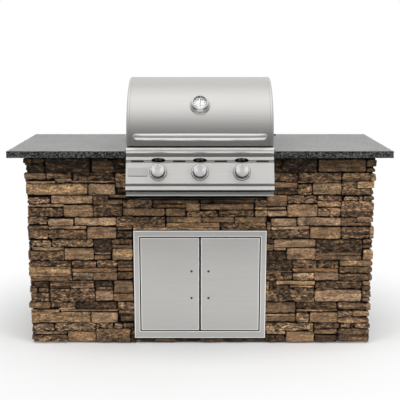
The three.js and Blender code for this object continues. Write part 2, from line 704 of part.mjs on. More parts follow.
function controlPanel() {
  const back = fireboxFront - fit;
  const noseY = slopeTopY + bullnoseRadius / 2;
  const noseZ = panelTopZ - bullnoseRadius;
  const nose = [];
  const noseSteps = 10;
  for (let k = 0; k <= noseSteps; k++) {
    const turn = Math.PI / 2 + (k * Math.PI) / noseSteps;
    nose.push([noseY + bullnoseRadius * Math.cos(turn), noseZ + bullnoseRadius * Math.sin(turn)]);
  }
  const upperFloor = slopeY(upperGrooveTop) + grooveDepth;
  const lowerFloor = slopeY(faceBottom) + grooveDepth;
  const channelFloor = [slopeY(channelTop) + channelDepth, slopeY(faceTop) + channelFootDepth];
  const skin = [
    [back, panelTopZ], ...nose,
    [upperFloor, upperGrooveTop - fit],
    [upperFloor, upperBandTop], [slopeY(upperBandTop), upperBandTop],
    [slopeY(channelTop), channelTop], [channelFloor[0], channelTop],
    [channelFloor[1], faceTop], [slopeY(faceTop), faceTop],
    [slopeY(faceBottom), faceBottom], [lowerFloor, faceBottom],
    [lowerFloor, lowerBandTop], [slopeY(lowerBandTop), lowerBandTop],
    [slopeY(panelBottomZ), panelBottomZ], [back, panelBottomZ],
  ];
  // The same outline one sheet further in
  const half = grillWidth / 2;
  const behind = panelSheet / Math.cos(slopeAngle);
  const hollow = [[back + overrun, panelTopZ - panelSheet]];
  for (const [y, z] of nose) {
    const reach = 1 - panelSheet / bullnoseRadius;
    hollow.push([noseY + (y - noseY) * reach, noseZ + (z - noseZ) * reach]);
  }
  const levels = [[upperFloor, upperGrooveTop, upperFloor, upperBandTop],
    [channelFloor[0], channelTop, channelFloor[1], faceTop], [lowerFloor, faceBottom, lowerFloor, lowerBandTop]];
  for (const [topY, topZ, footY, footZ] of levels) {
    if (topZ < upperGrooveTop) hollow.push([slopeY(topZ) + behind, topZ + panelSheet]);
    hollow.push([topY + panelSheet, topZ + panelSheet], [footY + panelSheet, footZ - panelSheet]);
    hollow.push([slopeY(footZ) + behind, footZ - panelSheet]);
  }
  hollow.push([slopeY(panelBottomZ) + behind, panelBottomZ + panelSheet]);
  hollow.push([back + overrun, panelBottomZ + panelSheet]);
  let panel = alongX(skin, -half, half).subtract(alongX(hollow, panelSheet - half, half - panelSheet));
  const slotZ = (channelTop + faceTop) / 2;
  for (let k = 0; k < slotCount; k++) {
    const x = (k - (slotCount - 1) / 2) * slotPitch;
    const y = slopeY(slotZ);
    panel = panel.subtract(block([x - slotLength / 2, x + slotLength / 2], [y - slotDepth, y + slotDepth],
      [slotZ - slotHeight / 2, slotZ + slotHeight / 2]));
  }
  for (const [, x] of knobPlaces) {
    panel = panel.subtract(rod(offFace(x, -slotDepth), offFace(x, overrun), spindleHoleRadius));
    const y = slopeY(channelTop);
    const oval = rod(at(0, y - slotDepth, 0), at(0, y + slotDepth, 0), ovalWidth / 2)
      .scale([1, 1, ovalHeight / ovalWidth]).translate([x, 0, channelTop - ovalDrop]);
    panel = panel.subtract(oval);
  }
  piece("control_panel", panel, "stainless");

  const plate = block([plateLeft, plateLeft + plateWidth], [-plateThickness - fit, -fit],
    [-plateHeight / 2, plateHeight / 2]);
  const mesh = piece("name_plate", plate, "stainless");
  mesh.rotation.x = -slopeAngle;
  mesh.position.copy(knobFoot(0));
}

// A knob, its bezel and the valve spindle behind them, on one axis
function knobs() {
  for (const [name, x] of knobPlaces) {
    const place = new THREE.Group();
    place.position.copy(knobFoot(x));
    place.rotation.x = Math.PI / 2 - slopeAngle;
    island.add(place);
    const rim = bezelThickness / 2;
    const bezel = turned([
      [bezelBore, fit], [bezelRadius, fit], [bezelRadius, rim], [bezelRadius - rim, bezelThickness],
      [bezelBore, bezelThickness], [bezelBore, fit],
    ]);
    piece(`${name}_knob_bezel`, bezel, "stainless", place);
    const top = knobLift + knobHeight;
    const bore = spindleRadius + fit;
    const knob = turned([
      [bore, knobLift], [knobBaseRadius - knobCup, knobLift], [knobBaseRadius, knobLift + knobCup],
      [knobFaceRadius, top - knobCup / 2], [knobFaceRadius - knobCup / 2, top], [0, top],
      [0, knobLift + knobBoreDepth], [bore, knobLift + knobBoreDepth], [bore, knobLift],
    ]);
    piece(`${name}_knob`, knob, "stainless", place);
    const spindle = rod(at(0, 0, -spindleTail), at(0, 0, spindleReach), spindleRadius);
    piece(`${name}_spindle`, spindle, "brassFitting", place);
  }
}

function gasParts() {
  const { y, z } = manifoldCentre;
  const half = manifoldLength / 2;
  let pipe = rod(at(-half, y, z), at(half, y, z), manifoldRadius);
  for (const [, x] of knobPlaces) {
    pipe = pipe.add(rod(offFace(x, -manifoldBehind), offFace(x, valveLength - manifoldBehind - fit), valveRadius));
    pipe = pipe.add(block([x - manifoldFoot / 2, x + manifoldFoot / 2], [y, fireboxFront - fit * 2],
      [z - manifoldFoot / 2, z + manifoldFoot / 2]));
  }
  piece("gas_manifold", pipe, "brassFitting");

  const ridge = tamerLedge + fit;
  const tamerLength = chamberBack - chamberFront - 4 * fit;
  const tamerHalf = tamerWidth / 2;
  for (const [name, x] of knobPlaces) {
    const tube = rod(at(x, fireboxFront + fit, z), at(x, burnerBack, z), burnerRadius);
    piece(`${name}_burner`, tube, "castIron");
    const roof = [
      [x - tamerHalf, ridge], [x, ridge + tamerRise], [x + tamerHalf, ridge],
      [x + tamerHalf, ridge + tamerSheet], [x, ridge + tamerRise + tamerSheet],
      [x - tamerHalf, ridge + tamerSheet],
    ];
    const geometry = new THREE.ExtrudeGeometry(outline(roof), { depth: tamerLength, bevelEnabled: false });
    geometry.applyMatrix4(new THREE.Matrix4().makeBasis(axisX, axisZ, axisY.clone().negate()));
    geometry.translate(0, chamberBack - 2 * fit, 0);
    piece(`${name}_flame_tamer`, toSolid(geometry), "stainless");
  }
}

function firebox() {
  const curbHalf = grillWidth / 2 - curbInset;
  const flangeFoot = counterHeight + fit;
  const flangeTop = flangeFoot + flangeThickness;
  let body = block([-fireboxHalf, fireboxHalf], [fireboxFront, fireboxBack], [fireboxBottom, fireboxRim]);
  body = body.add(block([-flangeWidth / 2, flangeWidth / 2], [overrun, cutoutDepth + flangeBehind],
    [flangeFoot, flangeTop]));
  body = body.add(block([-curbHalf, curbHalf], [fireboxFront, fireboxBack], [flangeFoot, fireboxRim]));
  const hoodFront = fireboxBack - hoodLug;
  const lugHalf = fireboxHalf + lugOut;
  body = body.add(block([-lugHalf, lugHalf], [hoodFront, fireboxBack], [flangeFoot, hoodHeight]));
  body = body.subtract(block([-chamberHalf, chamberHalf], [chamberFront, chamberBack],
    [fireboxBottom + fireboxWall, hoodHeight + overrun]));
  body = body.subtract(block([-greaseWidth, greaseWidth], [chamberFront + greaseEnd, chamberBack - greaseEnd],
    [fireboxBottom - overrun, fireboxBottom + fireboxWall + overrun]));
  for (const top of [grateLedge, tamerLedge]) {
    for (const [from, to] of [[fireboxFront, chamberFront + ledgeDepth], [chamberBack - ledgeDepth, fireboxBack]]) {
      body = body.add(block([-fireboxHalf, fireboxHalf], [from, to], [top - ledgeThickness, top]));
    }
  }
  const rest = manifoldCentre.z - burnerRadius - fit;
  body = body.add(block([-chamberHalf - overrun / 2, chamberHalf + overrun / 2],
    [burnerBack - burnerRestDepth, fireboxBack - overrun], [fireboxBottom, rest]));
  for (const [, x] of knobPlaces) {
    body = body.subtract(rod(at(x, fireboxFront - overrun, manifoldCentre.z),
      at(x, chamberFront + overrun, manifoldCentre.z), burnerRadius + burnerHoleGap));
  }
  const trayHalf = trayWidth / 2;
  const railOuter = trayHalf + trayFlange + fit + railWeb;
  for (const side of [-1, 1]) {
    const web = [side * (railOuter - railWeb), side * railOuter].sort((a, b) => a - b);
    const ledge = [side * (trayHalf + fit), side * railOuter].sort((a, b) => a - b);
    const railTop = trayTop - traySheet - fit;
    body = body.add(block(web, [fireboxFront, trayBack], [railTop - railLedge, fireboxBottom + overrun]));
    body = body.add(block(ledge, [fireboxFront, trayBack], [railTop - railLedge, railTop]));
  }
  body = body.subtract(rod(at(-grillWidth, pivotY, pivotZ), at(grillWidth, pivotY, pivotZ), pivotRadius + fit));
  piece("firebox", body, "darkSteel");
}

function dripTray() {
  const half = trayWidth / 2;
  const frontHalf = trayFrontWidth / 2;
  const front = trayFrontY + trayFrontSheet;
  let tray = block([-half, half], [trayFrontY, trayBack], [trayBottom, trayTop]);
  tray = tray.add(block([-half - trayFlange, half + trayFlange], [fireboxFront, trayBack],
    [trayTop - traySheet, trayTop]));
  tray = tray.subtract(block([traySheet - half, half - traySheet], [front, trayBack - traySheet],
    [trayBottom + traySheet, trayTop + overrun]));
  tray = tray.subtract(block([-half - overrun, half + overrun], [trayFrontY - overrun, front + overrun],
    [trayFrontTop, trayTop + overrun]));
  tray = tray.add(block([-frontHalf, frontHalf], [trayFrontY, front], [trayBottom, trayFrontTop]));
  piece("drip_tray", tray, "stainless");
}

function cookingParts() {
  const back = chamberBack - fit * 2;
  const from = chamberFront + fit * 2;
  const foot = grateLedge + fit;
  const inner = grateMeeting / 2;
  const outer = chamberHalf - fit * 2;
  for (const [name, side] of [["left", -1], ["right", 1]]) {
    const across = [side * inner, side * outer].sort((a, b) => a - b);
    let grate = block(across, [from, back], [foot, foot + grateThickness]);
    const pitch = grateBar + grateGap;
    const count = Math.floor((outer - inner - grateBar) / pitch);
    for (let k = 0; k < count; k++) {
      const gap = across[0] + grateBar + k * pitch;
      grate = grate.subtract(block([gap, gap + grateGap], [from + grateBorder, back - grateBorder],
        [foot - overrun, foot + grateThickness + overrun]));
    }
    piece(`${name}_cooking_grate`, grate, "castIron");
  }

  const wire = rackWire / 2;
  const reach = fireboxHalf + rackLegOut;
  const legs = [rackRear - rackDepth, rackRear];
  let rack = rod(at(-reach, legs[0], rackZ), at(reach, legs[0], rackZ), wire, 8);
  for (const y of legs) {
    for (const side of [-1, 1]) {
      rack = rack.add(rod(at(side * reach, y, fireboxRim + fit), at(side * reach, y, rackZ), wire, 8));
    }
  }
  for (const side of [-1, 1]) {
    const rail = rod(at(side * reach, legs[0], rackZ), at(side * reach, legs[1], rackZ), wire, 8);
    rack = rack.add(rail);
  }
  for (let k = 1; k < rackWires; k++) {
    const y = legs[0] + (k * rackDepth) / (rackWires - 1);
    rack = rack.add(rod(at(-reach, y, rackZ), at(reach, y, rackZ), wire, 8));
  }
  piece("warming_rack", rack, "stainless");
}

// The lid's side outline: two quarter ellipses that meet at the top
function lidCurve(inset) {
  const points = [];
  const frontHeight = lidTop - lidBottom;
  const rearHeight = lidTop - lidRearBase;
  for (let k = 0; k <= lidSteps; k++) {
    const turn = (k * Math.PI) / 2 / lidSteps;
    points.push([lidMiddleY - (lidFrontReach - inset) * Math.cos(turn),
      lidBottom + (frontHeight - inset) * Math.sin(turn)]);
  }
  const end = Math.asin((lidRearBottom - lidRearBase) / (rearHeight - inset));
  for (let k = 1; k <= lidSteps; k++) {
    const turn = Math.PI / 2 - (k * (Math.PI / 2 - end)) / lidSteps;
    points.push([lidMiddleY + (lidRearReach - inset) * Math.cos(turn),
      lidRearBase + (rearHeight - inset) * Math.sin(turn)]);
  }
  return points;
}

const lidHalf = grillWidth / 2;
const lidSurfaceY = (z) => {
  const share = (z - lidBottom) / (lidTop - lidBottom);
  return lidMiddleY - lidFrontReach * Math.sqrt(1 - share * share);
};

function lid() {
  const shellHalf = lidHalf - lidEndWidth - fit;
  const skin = [...lidCurve(0), ...lidCurve(lidSheet).reverse()];
  const dialAxis = at(0, -Math.cos(dialTilt), Math.sin(dialTilt));
  const dialPlace = at(0, lidSurfaceY(dialZ), dialZ);
  const stemEnd = dialPlace.clone().addScaledVector(dialAxis, -dialStemReach);
  const stemHole = rod(stemEnd, dialPlace.clone().addScaledVector(dialAxis, dialCaseHeight),
    dialStemRadius + fit);
  piece("lid_shell", alongX(skin, -shellHalf, shellHalf).subtract(stemHole), "stainless");

  const swing = [];
  for (let k = 0; k <= lidSteps / 2; k++) {
    const turn = (k * Math.PI) / lidSteps;
    swing.push([pivotY + pivotSwing * Math.cos(turn), pivotZ - pivotSwing * Math.sin(turn)]);
  }
  const inset = lidEndRound;
  const endOutline = [...lidCurve(inset), ...swing.map(([y, z]) => [y - inset / 2, z + inset])];
  const bolt = rod(at(-grillWidth, pivotY, pivotZ), at(grillWidth, pivotY, pivotZ), pivotRadius + fit);
  for (const [name, side] of [["left", -1], ["right", 1]]) {
    const geometry = new THREE.ExtrudeGeometry(outline(endOutline), {
      depth: 2 * (lidEndWidth - inset), bevelThickness: inset, bevelSize: inset, bevelSegments: 2,
    });
    geometry.translate(0, 0, inset - lidEndWidth);
    geometry.applyMatrix4(new THREE.Matrix4().makeBasis(axisY, axisZ, axisX));
    geometry.translate(side * (lidHalf - lidEndWidth), 0, 0);
    const innerHalf = side > 0 ? [-lidHalf, lidHalf - lidEndWidth] : [lidEndWidth - lidHalf, lidHalf];
    let end = toSolid(geometry)
      .subtract(block(innerHalf, [-lidTop, lidTop], [0, 2 * lidTop]))
      .subtract(block([-lidHalf, lidHalf], [-lidTop, lidTop], [0, lidBottom]))
      .subtract(bolt);
    if (side > 0) {
      end = end.add(rod(at(lidHalf - lidEndRound, stubY, stubZ), at(lidHalf + stubReach, stubY, stubZ), stubRadius));
    }
    piece(`lid_end_${name}`, end, "stainless");
  }
  const rodReach = lidHalf - fit;
  piece("lid_hinge_rod", rod(at(-rodReach, pivotY, pivotZ), at(rodReach, pivotY, pivotZ), pivotRadius), "stainless");
  lidHandle();
  thermometer(dialPlace, dialAxis);
}

// An oval bar that bows out from the lid and tapers to its two ends
function lidHandle() {
  const positions = [];
  const faces = [];
  const half = handleLength / 2;
  const start = lidSurfaceY(handleZ) - (handleThickness / 2) * handleEndShare - fit;
  for (let k = 0; k <= handleSteps; k++) {
    const share = (2 * k) / handleSteps - 1;
    const bow = Math.sqrt(Math.max(0, 1 - share ** 8));
    const thick = handleEndShare + (1 - handleEndShare) * (1 - share ** 2);
    const y = start - (handleBow - handleThickness / 2 * (1 - handleEndShare)) * bow;
    for (let j = 0; j < smallSides; j++) {
      const turn = (2 * Math.PI * j) / smallSides;
      positions.push(half * share, y + (handleThickness / 2) * thick * Math.cos(turn),
        handleZ + (handleHeight / 2) * thick * Math.sin(turn));
    }
  }
  const ring = (k, j) => k * smallSides + (j % smallSides);
  for (let k = 0; k < handleSteps; k++) {
    for (let j = 0; j < smallSides; j++) {
      faces.push(ring(k, j), ring(k, j + 1), ring(k + 1, j));
      faces.push(ring(k, j + 1), ring(k + 1, j + 1), ring(k + 1, j));
    }
  }
  for (let j = 1; j < smallSides - 1; j++) {
    faces.push(ring(0, 0), ring(0, j + 1), ring(0, j));
    faces.push(ring(handleSteps, 0), ring(handleSteps, j), ring(handleSteps, j + 1));
  }
  const geometry = new THREE.BufferGeometry();
  geometry.setAttribute("position", new THREE.BufferAttribute(new Float32Array(positions), 3));
  geometry.setIndex(faces);
  piece("lid_handle", toSolid(geometry), "stainless");
}

function thermometer(place, axis) {
  const dial = new THREE.Group();
  dial.position.copy(place).addScaledVector(axis, dialBaseThickness / 2);
  dial.rotation.x = Math.PI / 2 - dialTilt;
  island.add(dial);
  const top = dialBaseThickness + dialCaseHeight;
  const shoulder = dialBaseThickness / 2;
  const casing = turned([
    [0, -dialStemReach], [dialStemRadius, -dialStemReach], [dialStemRadius, fit], [dialBaseRadius, fit],
    [dialBaseRadius, shoulder], [dialBaseRadius - shoulder, dialBaseThickness],
    [dialCaseRadius, dialBaseThickness], [dialCaseRadius, top - overrun], [dialCaseRadius - overrun, top],
    [dialInnerRadius, top], [dialInnerRadius, top - lensThickness - dialFloor],
    [0, top - lensThickness - dialFloor], [0, -dialStemReach],
  ]);
  piece("thermometer_case", casing, "stainless", dial);
  const face = top - lensThickness - dialFloor;
  const needle = turned([[0, fit], [needleHub, fit], [needleHub, needleLift + needleThickness],
    [0, needleLift + needleThickness], [0, fit]], smallSides)
    .add(block([-needleWidth / 2, needleWidth / 2], [-needleTail, needleLength],
      [needleLift, needleLift + needleThickness]));
  const mesh = piece("thermometer_needle", needle, "redPaint", dial);
  mesh.position.z = face;
  mesh.rotation.z = -needleLean;
  const lens = turned([[0, 0], [dialInnerRadius - fit, 0], [dialInnerRadius - fit, lensThickness],
    [0, lensThickness], [0, 0]]);
  const lensMesh = piece("thermometer_lens", lens, "glass", dial);
  lensMesh.position.z = top - lensThickness;
}

countertop();
stoneWalls();
boardsAndFrame();
doors();
controlPanel();
knobs();
gasParts();
firebox();
dripTray();
cookingParts();
lid();

// The origin is on the ground, under the middle of the whole
const bounds = new THREE.Box3().setFromObject(island);
island.position.y = -(bounds.min.y + bounds.max.y) / 2;

export default island;
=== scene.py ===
# Outdoor kitchen island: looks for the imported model. Metres, +Z up, +Y to the back.
import json
import math

import bmesh
import bpy
import numpy as np
from mathutils import Matrix, Vector


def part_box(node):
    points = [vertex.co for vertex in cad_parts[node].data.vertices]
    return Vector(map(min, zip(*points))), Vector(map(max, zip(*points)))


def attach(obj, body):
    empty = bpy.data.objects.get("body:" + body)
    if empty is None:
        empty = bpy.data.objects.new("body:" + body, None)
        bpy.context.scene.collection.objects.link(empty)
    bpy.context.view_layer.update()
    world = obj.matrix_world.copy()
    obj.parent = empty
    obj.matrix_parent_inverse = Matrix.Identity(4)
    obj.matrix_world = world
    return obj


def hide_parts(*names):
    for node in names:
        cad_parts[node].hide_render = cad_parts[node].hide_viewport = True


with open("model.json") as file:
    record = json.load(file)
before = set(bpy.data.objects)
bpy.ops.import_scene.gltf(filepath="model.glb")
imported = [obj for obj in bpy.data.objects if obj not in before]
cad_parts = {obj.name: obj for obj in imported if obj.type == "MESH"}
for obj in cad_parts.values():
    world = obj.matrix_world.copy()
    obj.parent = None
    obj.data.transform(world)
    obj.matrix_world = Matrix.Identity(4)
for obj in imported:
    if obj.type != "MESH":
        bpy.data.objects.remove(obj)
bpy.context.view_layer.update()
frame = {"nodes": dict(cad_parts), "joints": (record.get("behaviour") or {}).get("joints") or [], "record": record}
NODES = frame["nodes"]
JOINTS = {joint["name"]: joint for joint in frame["joints"]}
MM = 0.001


def corners(node):
    low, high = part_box(node)
    return Vector(low), Vector(high)


# Places read from the frame, and the walls' sizes
COUNTER_LOW = corners("countertop")[0]
COUNTER_FRONT = COUNTER_LOW.y
WALL_HALF = 783 * MM
CUTOUT_HALF = 305 * MM
WALL_FRONT = COUNTER_FRONT + 65 * MM
WALL_REAR = COUNTER_FRONT + 595 * MM
VENEER = 28 * MM
SLAB = 12 * MM
COURSE = 101 * MM
SHARP = 32   # degrees: an edge that bends more than this is sharp


# Camera: level with the photograph's horizon and vanishing lines
def make_camera():
    focal_px = 810
    frame_px = 400
    sensor = 36
    height = 1398 * MM
    distance = 3523 * MM
    tilt = math.radians(11.26)
    data = bpy.data.cameras.new("camera")
    data.sensor_width = sensor
    data.lens = sensor * focal_px / frame_px
    camera = bpy.data.objects.new("camera", data)
    camera.location = (0, COUNTER_FRONT - distance, height)
    camera.rotation_euler = (math.pi / 2 - tilt, 0, 0)
    bpy.context.collection.objects.link(camera)
    bpy.context.scene.camera = camera


def add_object(name, mesh):
    made = bpy.data.objects.new(name, mesh)
    bpy.context.collection.objects.link(made)
    return made


def mesh_from(name, points, faces):
    mesh = bpy.data.meshes.new(name)
    mesh.from_pydata([tuple(p) for p in points], [], [tuple(f) for f in faces])
    mesh.update()
    return mesh


# Node trees
def grey(value):
    return (value, value, value, 1)


def srgb(red, green, blue):
    def linear(value):
        share = value / 255
        return share / 12.92 if share <= 0.04045 else ((share + 0.055) / 1.055) ** 2.4

    return (linear(red), linear(green), linear(blue), 1)


class NodeTree:
    """Short calls that add nodes to a tree."""

    def __init__(self, tree):
        self.tree = tree

    def node(self, kind, inputs=None, **settings):
        """One node: its settings first, and then each input as a value or a link."""
        made = self.tree.nodes.new(kind)
        for key, value in settings.items():
            setattr(made, key, value)
        for key, value in (inputs or {}).items():
            self.feed(made.inputs[key], value)
        return made

    def feed(self, socket, value):
        if isinstance(value, bpy.types.NodeSocket):
            self.tree.links.new(value, socket)
        else:
            socket.default_value = value

    def place(self, stretch=(1, 1, 1)):
        where = self.node("ShaderNodeTexCoord").outputs["Object"]
        return self.node("ShaderNodeMapping", {"Vector": where, "Scale": stretch}).outputs["Vector"]

    def noise(self, vector, scale, detail=3, roughness=0.5):
        return self.node("ShaderNodeTexNoise", {
            "Vector": vector, "Scale": scale, "Detail": detail, "Roughness": roughness,
        }).outputs["Fac"]

    def math(self, operation, *values):
        return self.node("ShaderNodeMath", dict(enumerate(values)), operation=operation).outputs[0]


class Shader(NodeTree):
    """A material with one Principled BSDF, and the calls that colour it."""

    def __init__(self, name, **plain):
        self.material = bpy.data.materials.new(name)
        self.material.use_nodes = True
        super().__init__(self.material.node_tree)
        self.bsdf = self.tree.nodes["Principled BSDF"]
        self.set(**plain)

    def ramp(self, value, stops):
        made = self.node("ShaderNodeValToRGB", {"Fac": value})
        points = made.color_ramp.elements
        for point, (where, colour) in zip(points, (stops[0], stops[-1])):
            point.position = where
            point.color = colour
        for where, colour in stops[1:-1]:
            points.new(where).color = colour
        return made.outputs["Color"]

    def grey_ramp(self, value, low, high, dark=0, light=1):
        return self.ramp(value, [(low, grey(dark)), (high, grey(light))])

    def patches(self, stretch, scale, detail, roughness, *span):
        """A grey ramp over noise that is drawn out by the stretch."""
        return self.grey_ramp(self.noise(self.place(stretch), scale, detail, roughness), *span)

    def cells(self, size, channel):
        """Grains of one random value each."""
        grains = self.node("ShaderNodeTexVoronoi", {"Vector": self.place(), "Scale": size}, feature="F1")
        return self.node("ShaderNodeSeparateColor", {"Color": grains.outputs["Color"]}).outputs[channel]

    def mix(self, factor, first, second, blend="MIX"):
        return self.node("ShaderNodeMix", {0: factor, 6: first, 7: second},
                         data_type="RGBA", blend_type=blend).outputs[2]

    def times(self, tone, by):
        return self.mix(1.0, tone, by, "MULTIPLY")

    def layer(self, tone, mask, share, colour):
        """The colour laid over the tone, where the mask is light."""
        return self.mix(self.math("MULTIPLY", mask, share), tone, colour)

    def bump(self, height, strength, distance):
        return self.node("ShaderNodeBump", {
            "Height": height, "Strength": strength, "Distance": distance}).outputs["Normal"]

    def group(self, tree, inputs):
        return self.node("ShaderNodeGroup", inputs, node_tree=tree).outputs

    def set(self, **sockets):
        for socket, value in sockets.items():
            self.feed(self.bsdf.inputs[socket.replace("_", " ")], value)
        return self.material


def group_tree(name, kind, inputs, outputs):
    """An empty node group with the named sockets, and its own input and output nodes' sockets."""
    made = NodeTree(bpy.data.node_groups.new(name, kind))
    for way, sockets in (("INPUT", inputs), ("OUTPUT", outputs)):
        for label, socket in sockets.items():
            made.tree.interface.new_socket(label, in_out=way, socket_type="NodeSocket" + socket)
    return made, made.node("NodeGroupInput").outputs, made.node("NodeGroupOutput").inputs


# Stones of one mould, in hundredths: left and right of the block's width, low and high of a
# course's height, then tone (L light, T tan, Y yellow, O orange, B brown, G grey, D dark,
# K darkest) and face (r rough, s smooth, l layered, g grained). All but the sill's, an even
# row, were read off the photograph. The back and the ends use the same moulds again
LEFT_MOULD_SHARES = {
    "foot": """2 21.5 61 93 Lr, 23 62.2 61 97 Lr, 62.8 79 74 96 Lr, 80 88 75 94 Lr, 89 99 74 96 Br,
        1.5 34 43.5 56.5 Ls, 1 34 8 38 Gr, 34.7 62.2 8 56 Ts, 62.8 95.5 8 71 Gl, 96.5 100 8 71 Dr""",
    "crack": """-1.5 18.5 72 98 Bs, 19.5 43 72 98 Br, 27 43 63 71 Ls, 44 83 65 98 Dr, 0 27.5 51.5 61 Ls,
        28.5 84 55.5 62.5 Ls, 0 57.5 1 49 Yg, 58.5 83.5 1 48.5 Ls, 84.5 100 62 96 Tr,
        84.5 100 35 59 Bl, 86.5 100 9 33 Dl""",
    "slate": """1.5 17.5 68 97 Dr, -0.5 6.5 44.5 65 Bs, 8 17.5 46.5 64 Bs, 1 17.5 1 42 Br,
        19 61.5 77.5 99 Bl, 38.5 61.5 64.5 74.5 Ls, 19 38 65.5 74 Ds, 19 62 1 62 Gr, 62.8 79.5 69.5 97 Dr,
        63.5 79.5 63 68 Ls, 63 79.5 5 53 Ls, 63 79.5 55 61 Ds, 80.8 99 44.5 99 Bs, 80 99 4 38.5 Bs""",
    "long": """-0.5 40 71 94 Br, -0.5 40 24 68 Yg, 1 40 0 20.5 Bs, 41 63.5 61.5 94 Br, 64.5 83.8 60.5 96 Gr,
        41 83.8 42.5 58.5 Os, 41 60.5 3 39 Ll, 61.3 83.8 4 39.5 Bs, 84.7 99 76 94 Ds,
        84.7 99 62 73 Bs, 84.7 99 48.5 59 Bs, 84.5 99 9 41.5 Dl""",
    "tower": """2 21.5 60 88 Lr, 22.5 61.7 61 95 Lr, 62.7 79 34 95 Dr, 79.7 99 71 95 Br, 79.7 99 54.5 68 Bs,
        3 33.7 43 56.5 Ls, -0.5 33.7 0 38.5 Br, 34.4 62 0 52 Ts, 62.7 78 24 33 Ls, 62.7 78 4 19 Bs,
        80 99 0 51.5 Yg""",
    "steps": """0 18.5 68 98.5 Br, 19.5 43 59.5 89 Ls, 44.8 83.8 60 94 Ls, 84.5 100 52.5 98.5 Gr,
        0 19 42.5 56.5 Bs, 19.5 55.5 42.5 55.5 Ls, 56.7 83.8 0 50.5 Ts, 84.7 99 41.5 49.5 Ls,
        0.5 19 0 39.5 Bl, 19.5 55.5 0 38.5 Br, 85 99 2 34.5 Dr""",
    "broad": """2 21.5 61 88 Lr, 23 62.2 61 95 Ls, 62.7 77 75 99 Br, 77.7 94 88 99 Bs, 63 90.5 58 75 Bs,
        1.5 34.5 45.5 55.5 Ls, 1 34 1 38.5 Br, 34.7 62.2 1 51.5 Ts, 63 90 3 54.5 Gr,
        90.8 100 40 77 Br, 90.8 100 6 37 Bs""",
    # Painted shade: the crown, under the counter, is laid in D and the darkest tone K
    "crown": """-1.5 6 44.5 64.5 Ds, 6.7 17 44.5 64.5 Ds, 1 17.5 1 42.5 Kr, 18.5 60 0 65 Kr,
        62.5 82.5 0 52.5 Ds, 62.5 77.5 54.5 62 Ks, 82.8 100 23 63 Kr, 82.8 100 1 20.5 Ks""",
}
RIGHT_MOULD_SHARES = {
    "foot": """0 47 60 97 Lr, 47.8 72.2 73 97 Br, 73.2 86 74 96 Lr, 87 101.5 76 95 Lr, 1 19.5 43.5 56.5 Ls,
        0.6 19.2 8 37.5 Dr, 20.3 47.5 8 54.5 Ts, 47.8 70 44.5 66.5 Bs, 49 69.7 8 37.5 Ds,
        71 101 8 69.5 Bl""",
    "crack": """0 28.5 48.5 96 Bs, 29.3 69 64.5 97 Dr, 29.5 69.5 54 61.5 Ls, 70 96.5 62.5 97 Bl,
        96.9 101.5 61.5 93 Ls, 0 29 32.5 39.5 Ls, 0 29 5 30.5 Bs, 29.7 42.3 4 45.5 Tr,
        43.2 69.5 1 46.5 Ts, 70.2 84.2 26 56 Lr, 84.7 100.5 33.5 56.5 Ys, 70 100.5 0 24 Tl""",
    "shelf": """0 28 59.5 97 Br, 28.5 69 62.5 99 Br, 70 96.2 61.5 99 Bl, 96.7 101.5 61.5 93 Ls,
        28.3 69.2 55.5 61 Ls, 0 27.8 32 55.5 Ts, 0 28.2 4 30.5 Dl, 28.5 41.8 2 48.5 Tr,
        42.7 69.5 2 50.5 Ls, 69.9 83.7 29 60.5 Lr, 84.3 100.5 32 59.5 Ys, 70 99.4 0 26.5 Gl""",
    "slate": """0 2.7 1 97 Ts, 3.1 9.4 67.5 97 Dr, 9.8 47 82.5 99 Ys, 23 46.7 68.5 76 Ls, 9.8 22 66 78 Ds,
        3.1 46.4 1 63.5 Gr, 47.7 92 66.5 97 Br, 49 66 57.5 65.5 Ls, 47.5 92.2 2 55.5 Ls,
        93 100.5 82.5 97 Bs, 93 101.5 25 55.5 Lr, 93 100.5 58 79 Ds, 93 100.5 4 20 Bs""",
    "long": """0 25 49.5 98 Dr, 25.5 48.3 63.5 98 Br, 49 69.5 62.5 95 Gr, 70.3 101.5 73.5 96 Ts,
        70.3 101.5 39.5 68 Tl, 25.5 69 43.5 59.5 Os, 0 25 41.5 46.5 Ls, 0 14.6 28.5 39.5 Bs,
        15.6 25 28.5 37 Ds, 0 25 2 26.5 Gr, 25.7 45.6 4 38.5 Ll, 46.2 69.5 4 40.5 Bs,
        70 102 1 31.5 Gl""",
    "tower": """0 6.3 75 95 Ds, 0 6.5 44 72 Bs, 6.9 46.7 60.5 93 Ls, 47.3 91.4 34 95 Dr, 92 100.5 71 95 Br,
        92 101 55.5 69 Bs, 6.9 18.4 43.5 56 Ls, 0 18.2 1 38.5 Dr, 19.5 47 1 52.5 Ts,
        47.3 91 20 33 Bs, 47.3 91 0 16.5 Bs, 92.5 102 0 45.5 Yg""",
    "steps": """0 3.6 40 73 Gs, 3.8 27.8 58 90 Ls, 29 69.7 59 94.5 Ls, 70 84.3 73 94.5 Bs, 85 100.5 75 100 Bs,
        70 99.4 58 71 Bs, 3.8 40.2 41 54 Ls, 3.8 40.2 0 39 Br, 41.2 70 0 50 Ts, 71 97.5 0 50 Gl,
        98.1 102 0 55 Ls, 0 3.6 1 35 Ds""",
    "broad": """0 18.4 50.5 99 Bs, 19.3 47 62.5 95 Lr, 47.5 70 72.5 95 Br, 72.8 85.8 74.5 91 Lr,
        86.2 90 74.5 91 Lr, 90.6 100.5 74.5 94 Lr, 0 17.8 31.5 42.5 Ls, 0 18.4 3 26.5 Ls,
        19 47.5 1 54.5 Ts, 47.5 69.7 46.5 70.5 Ts, 47.7 69.2 2 39.5 Tr, 69.9 100.5 1 71.5 Gl""",
    "crown": """0 12.5 28 67 Kr, 0 12.5 1 25 Ks, 13 45.5 1 67 Kr, 47.7 91.6 5 59.5 Ds, 47.7 66 61 66 Ks,
        92.5 101.5 29 57.5 Ds, 92.7 100.5 5 20 Ds""",
}
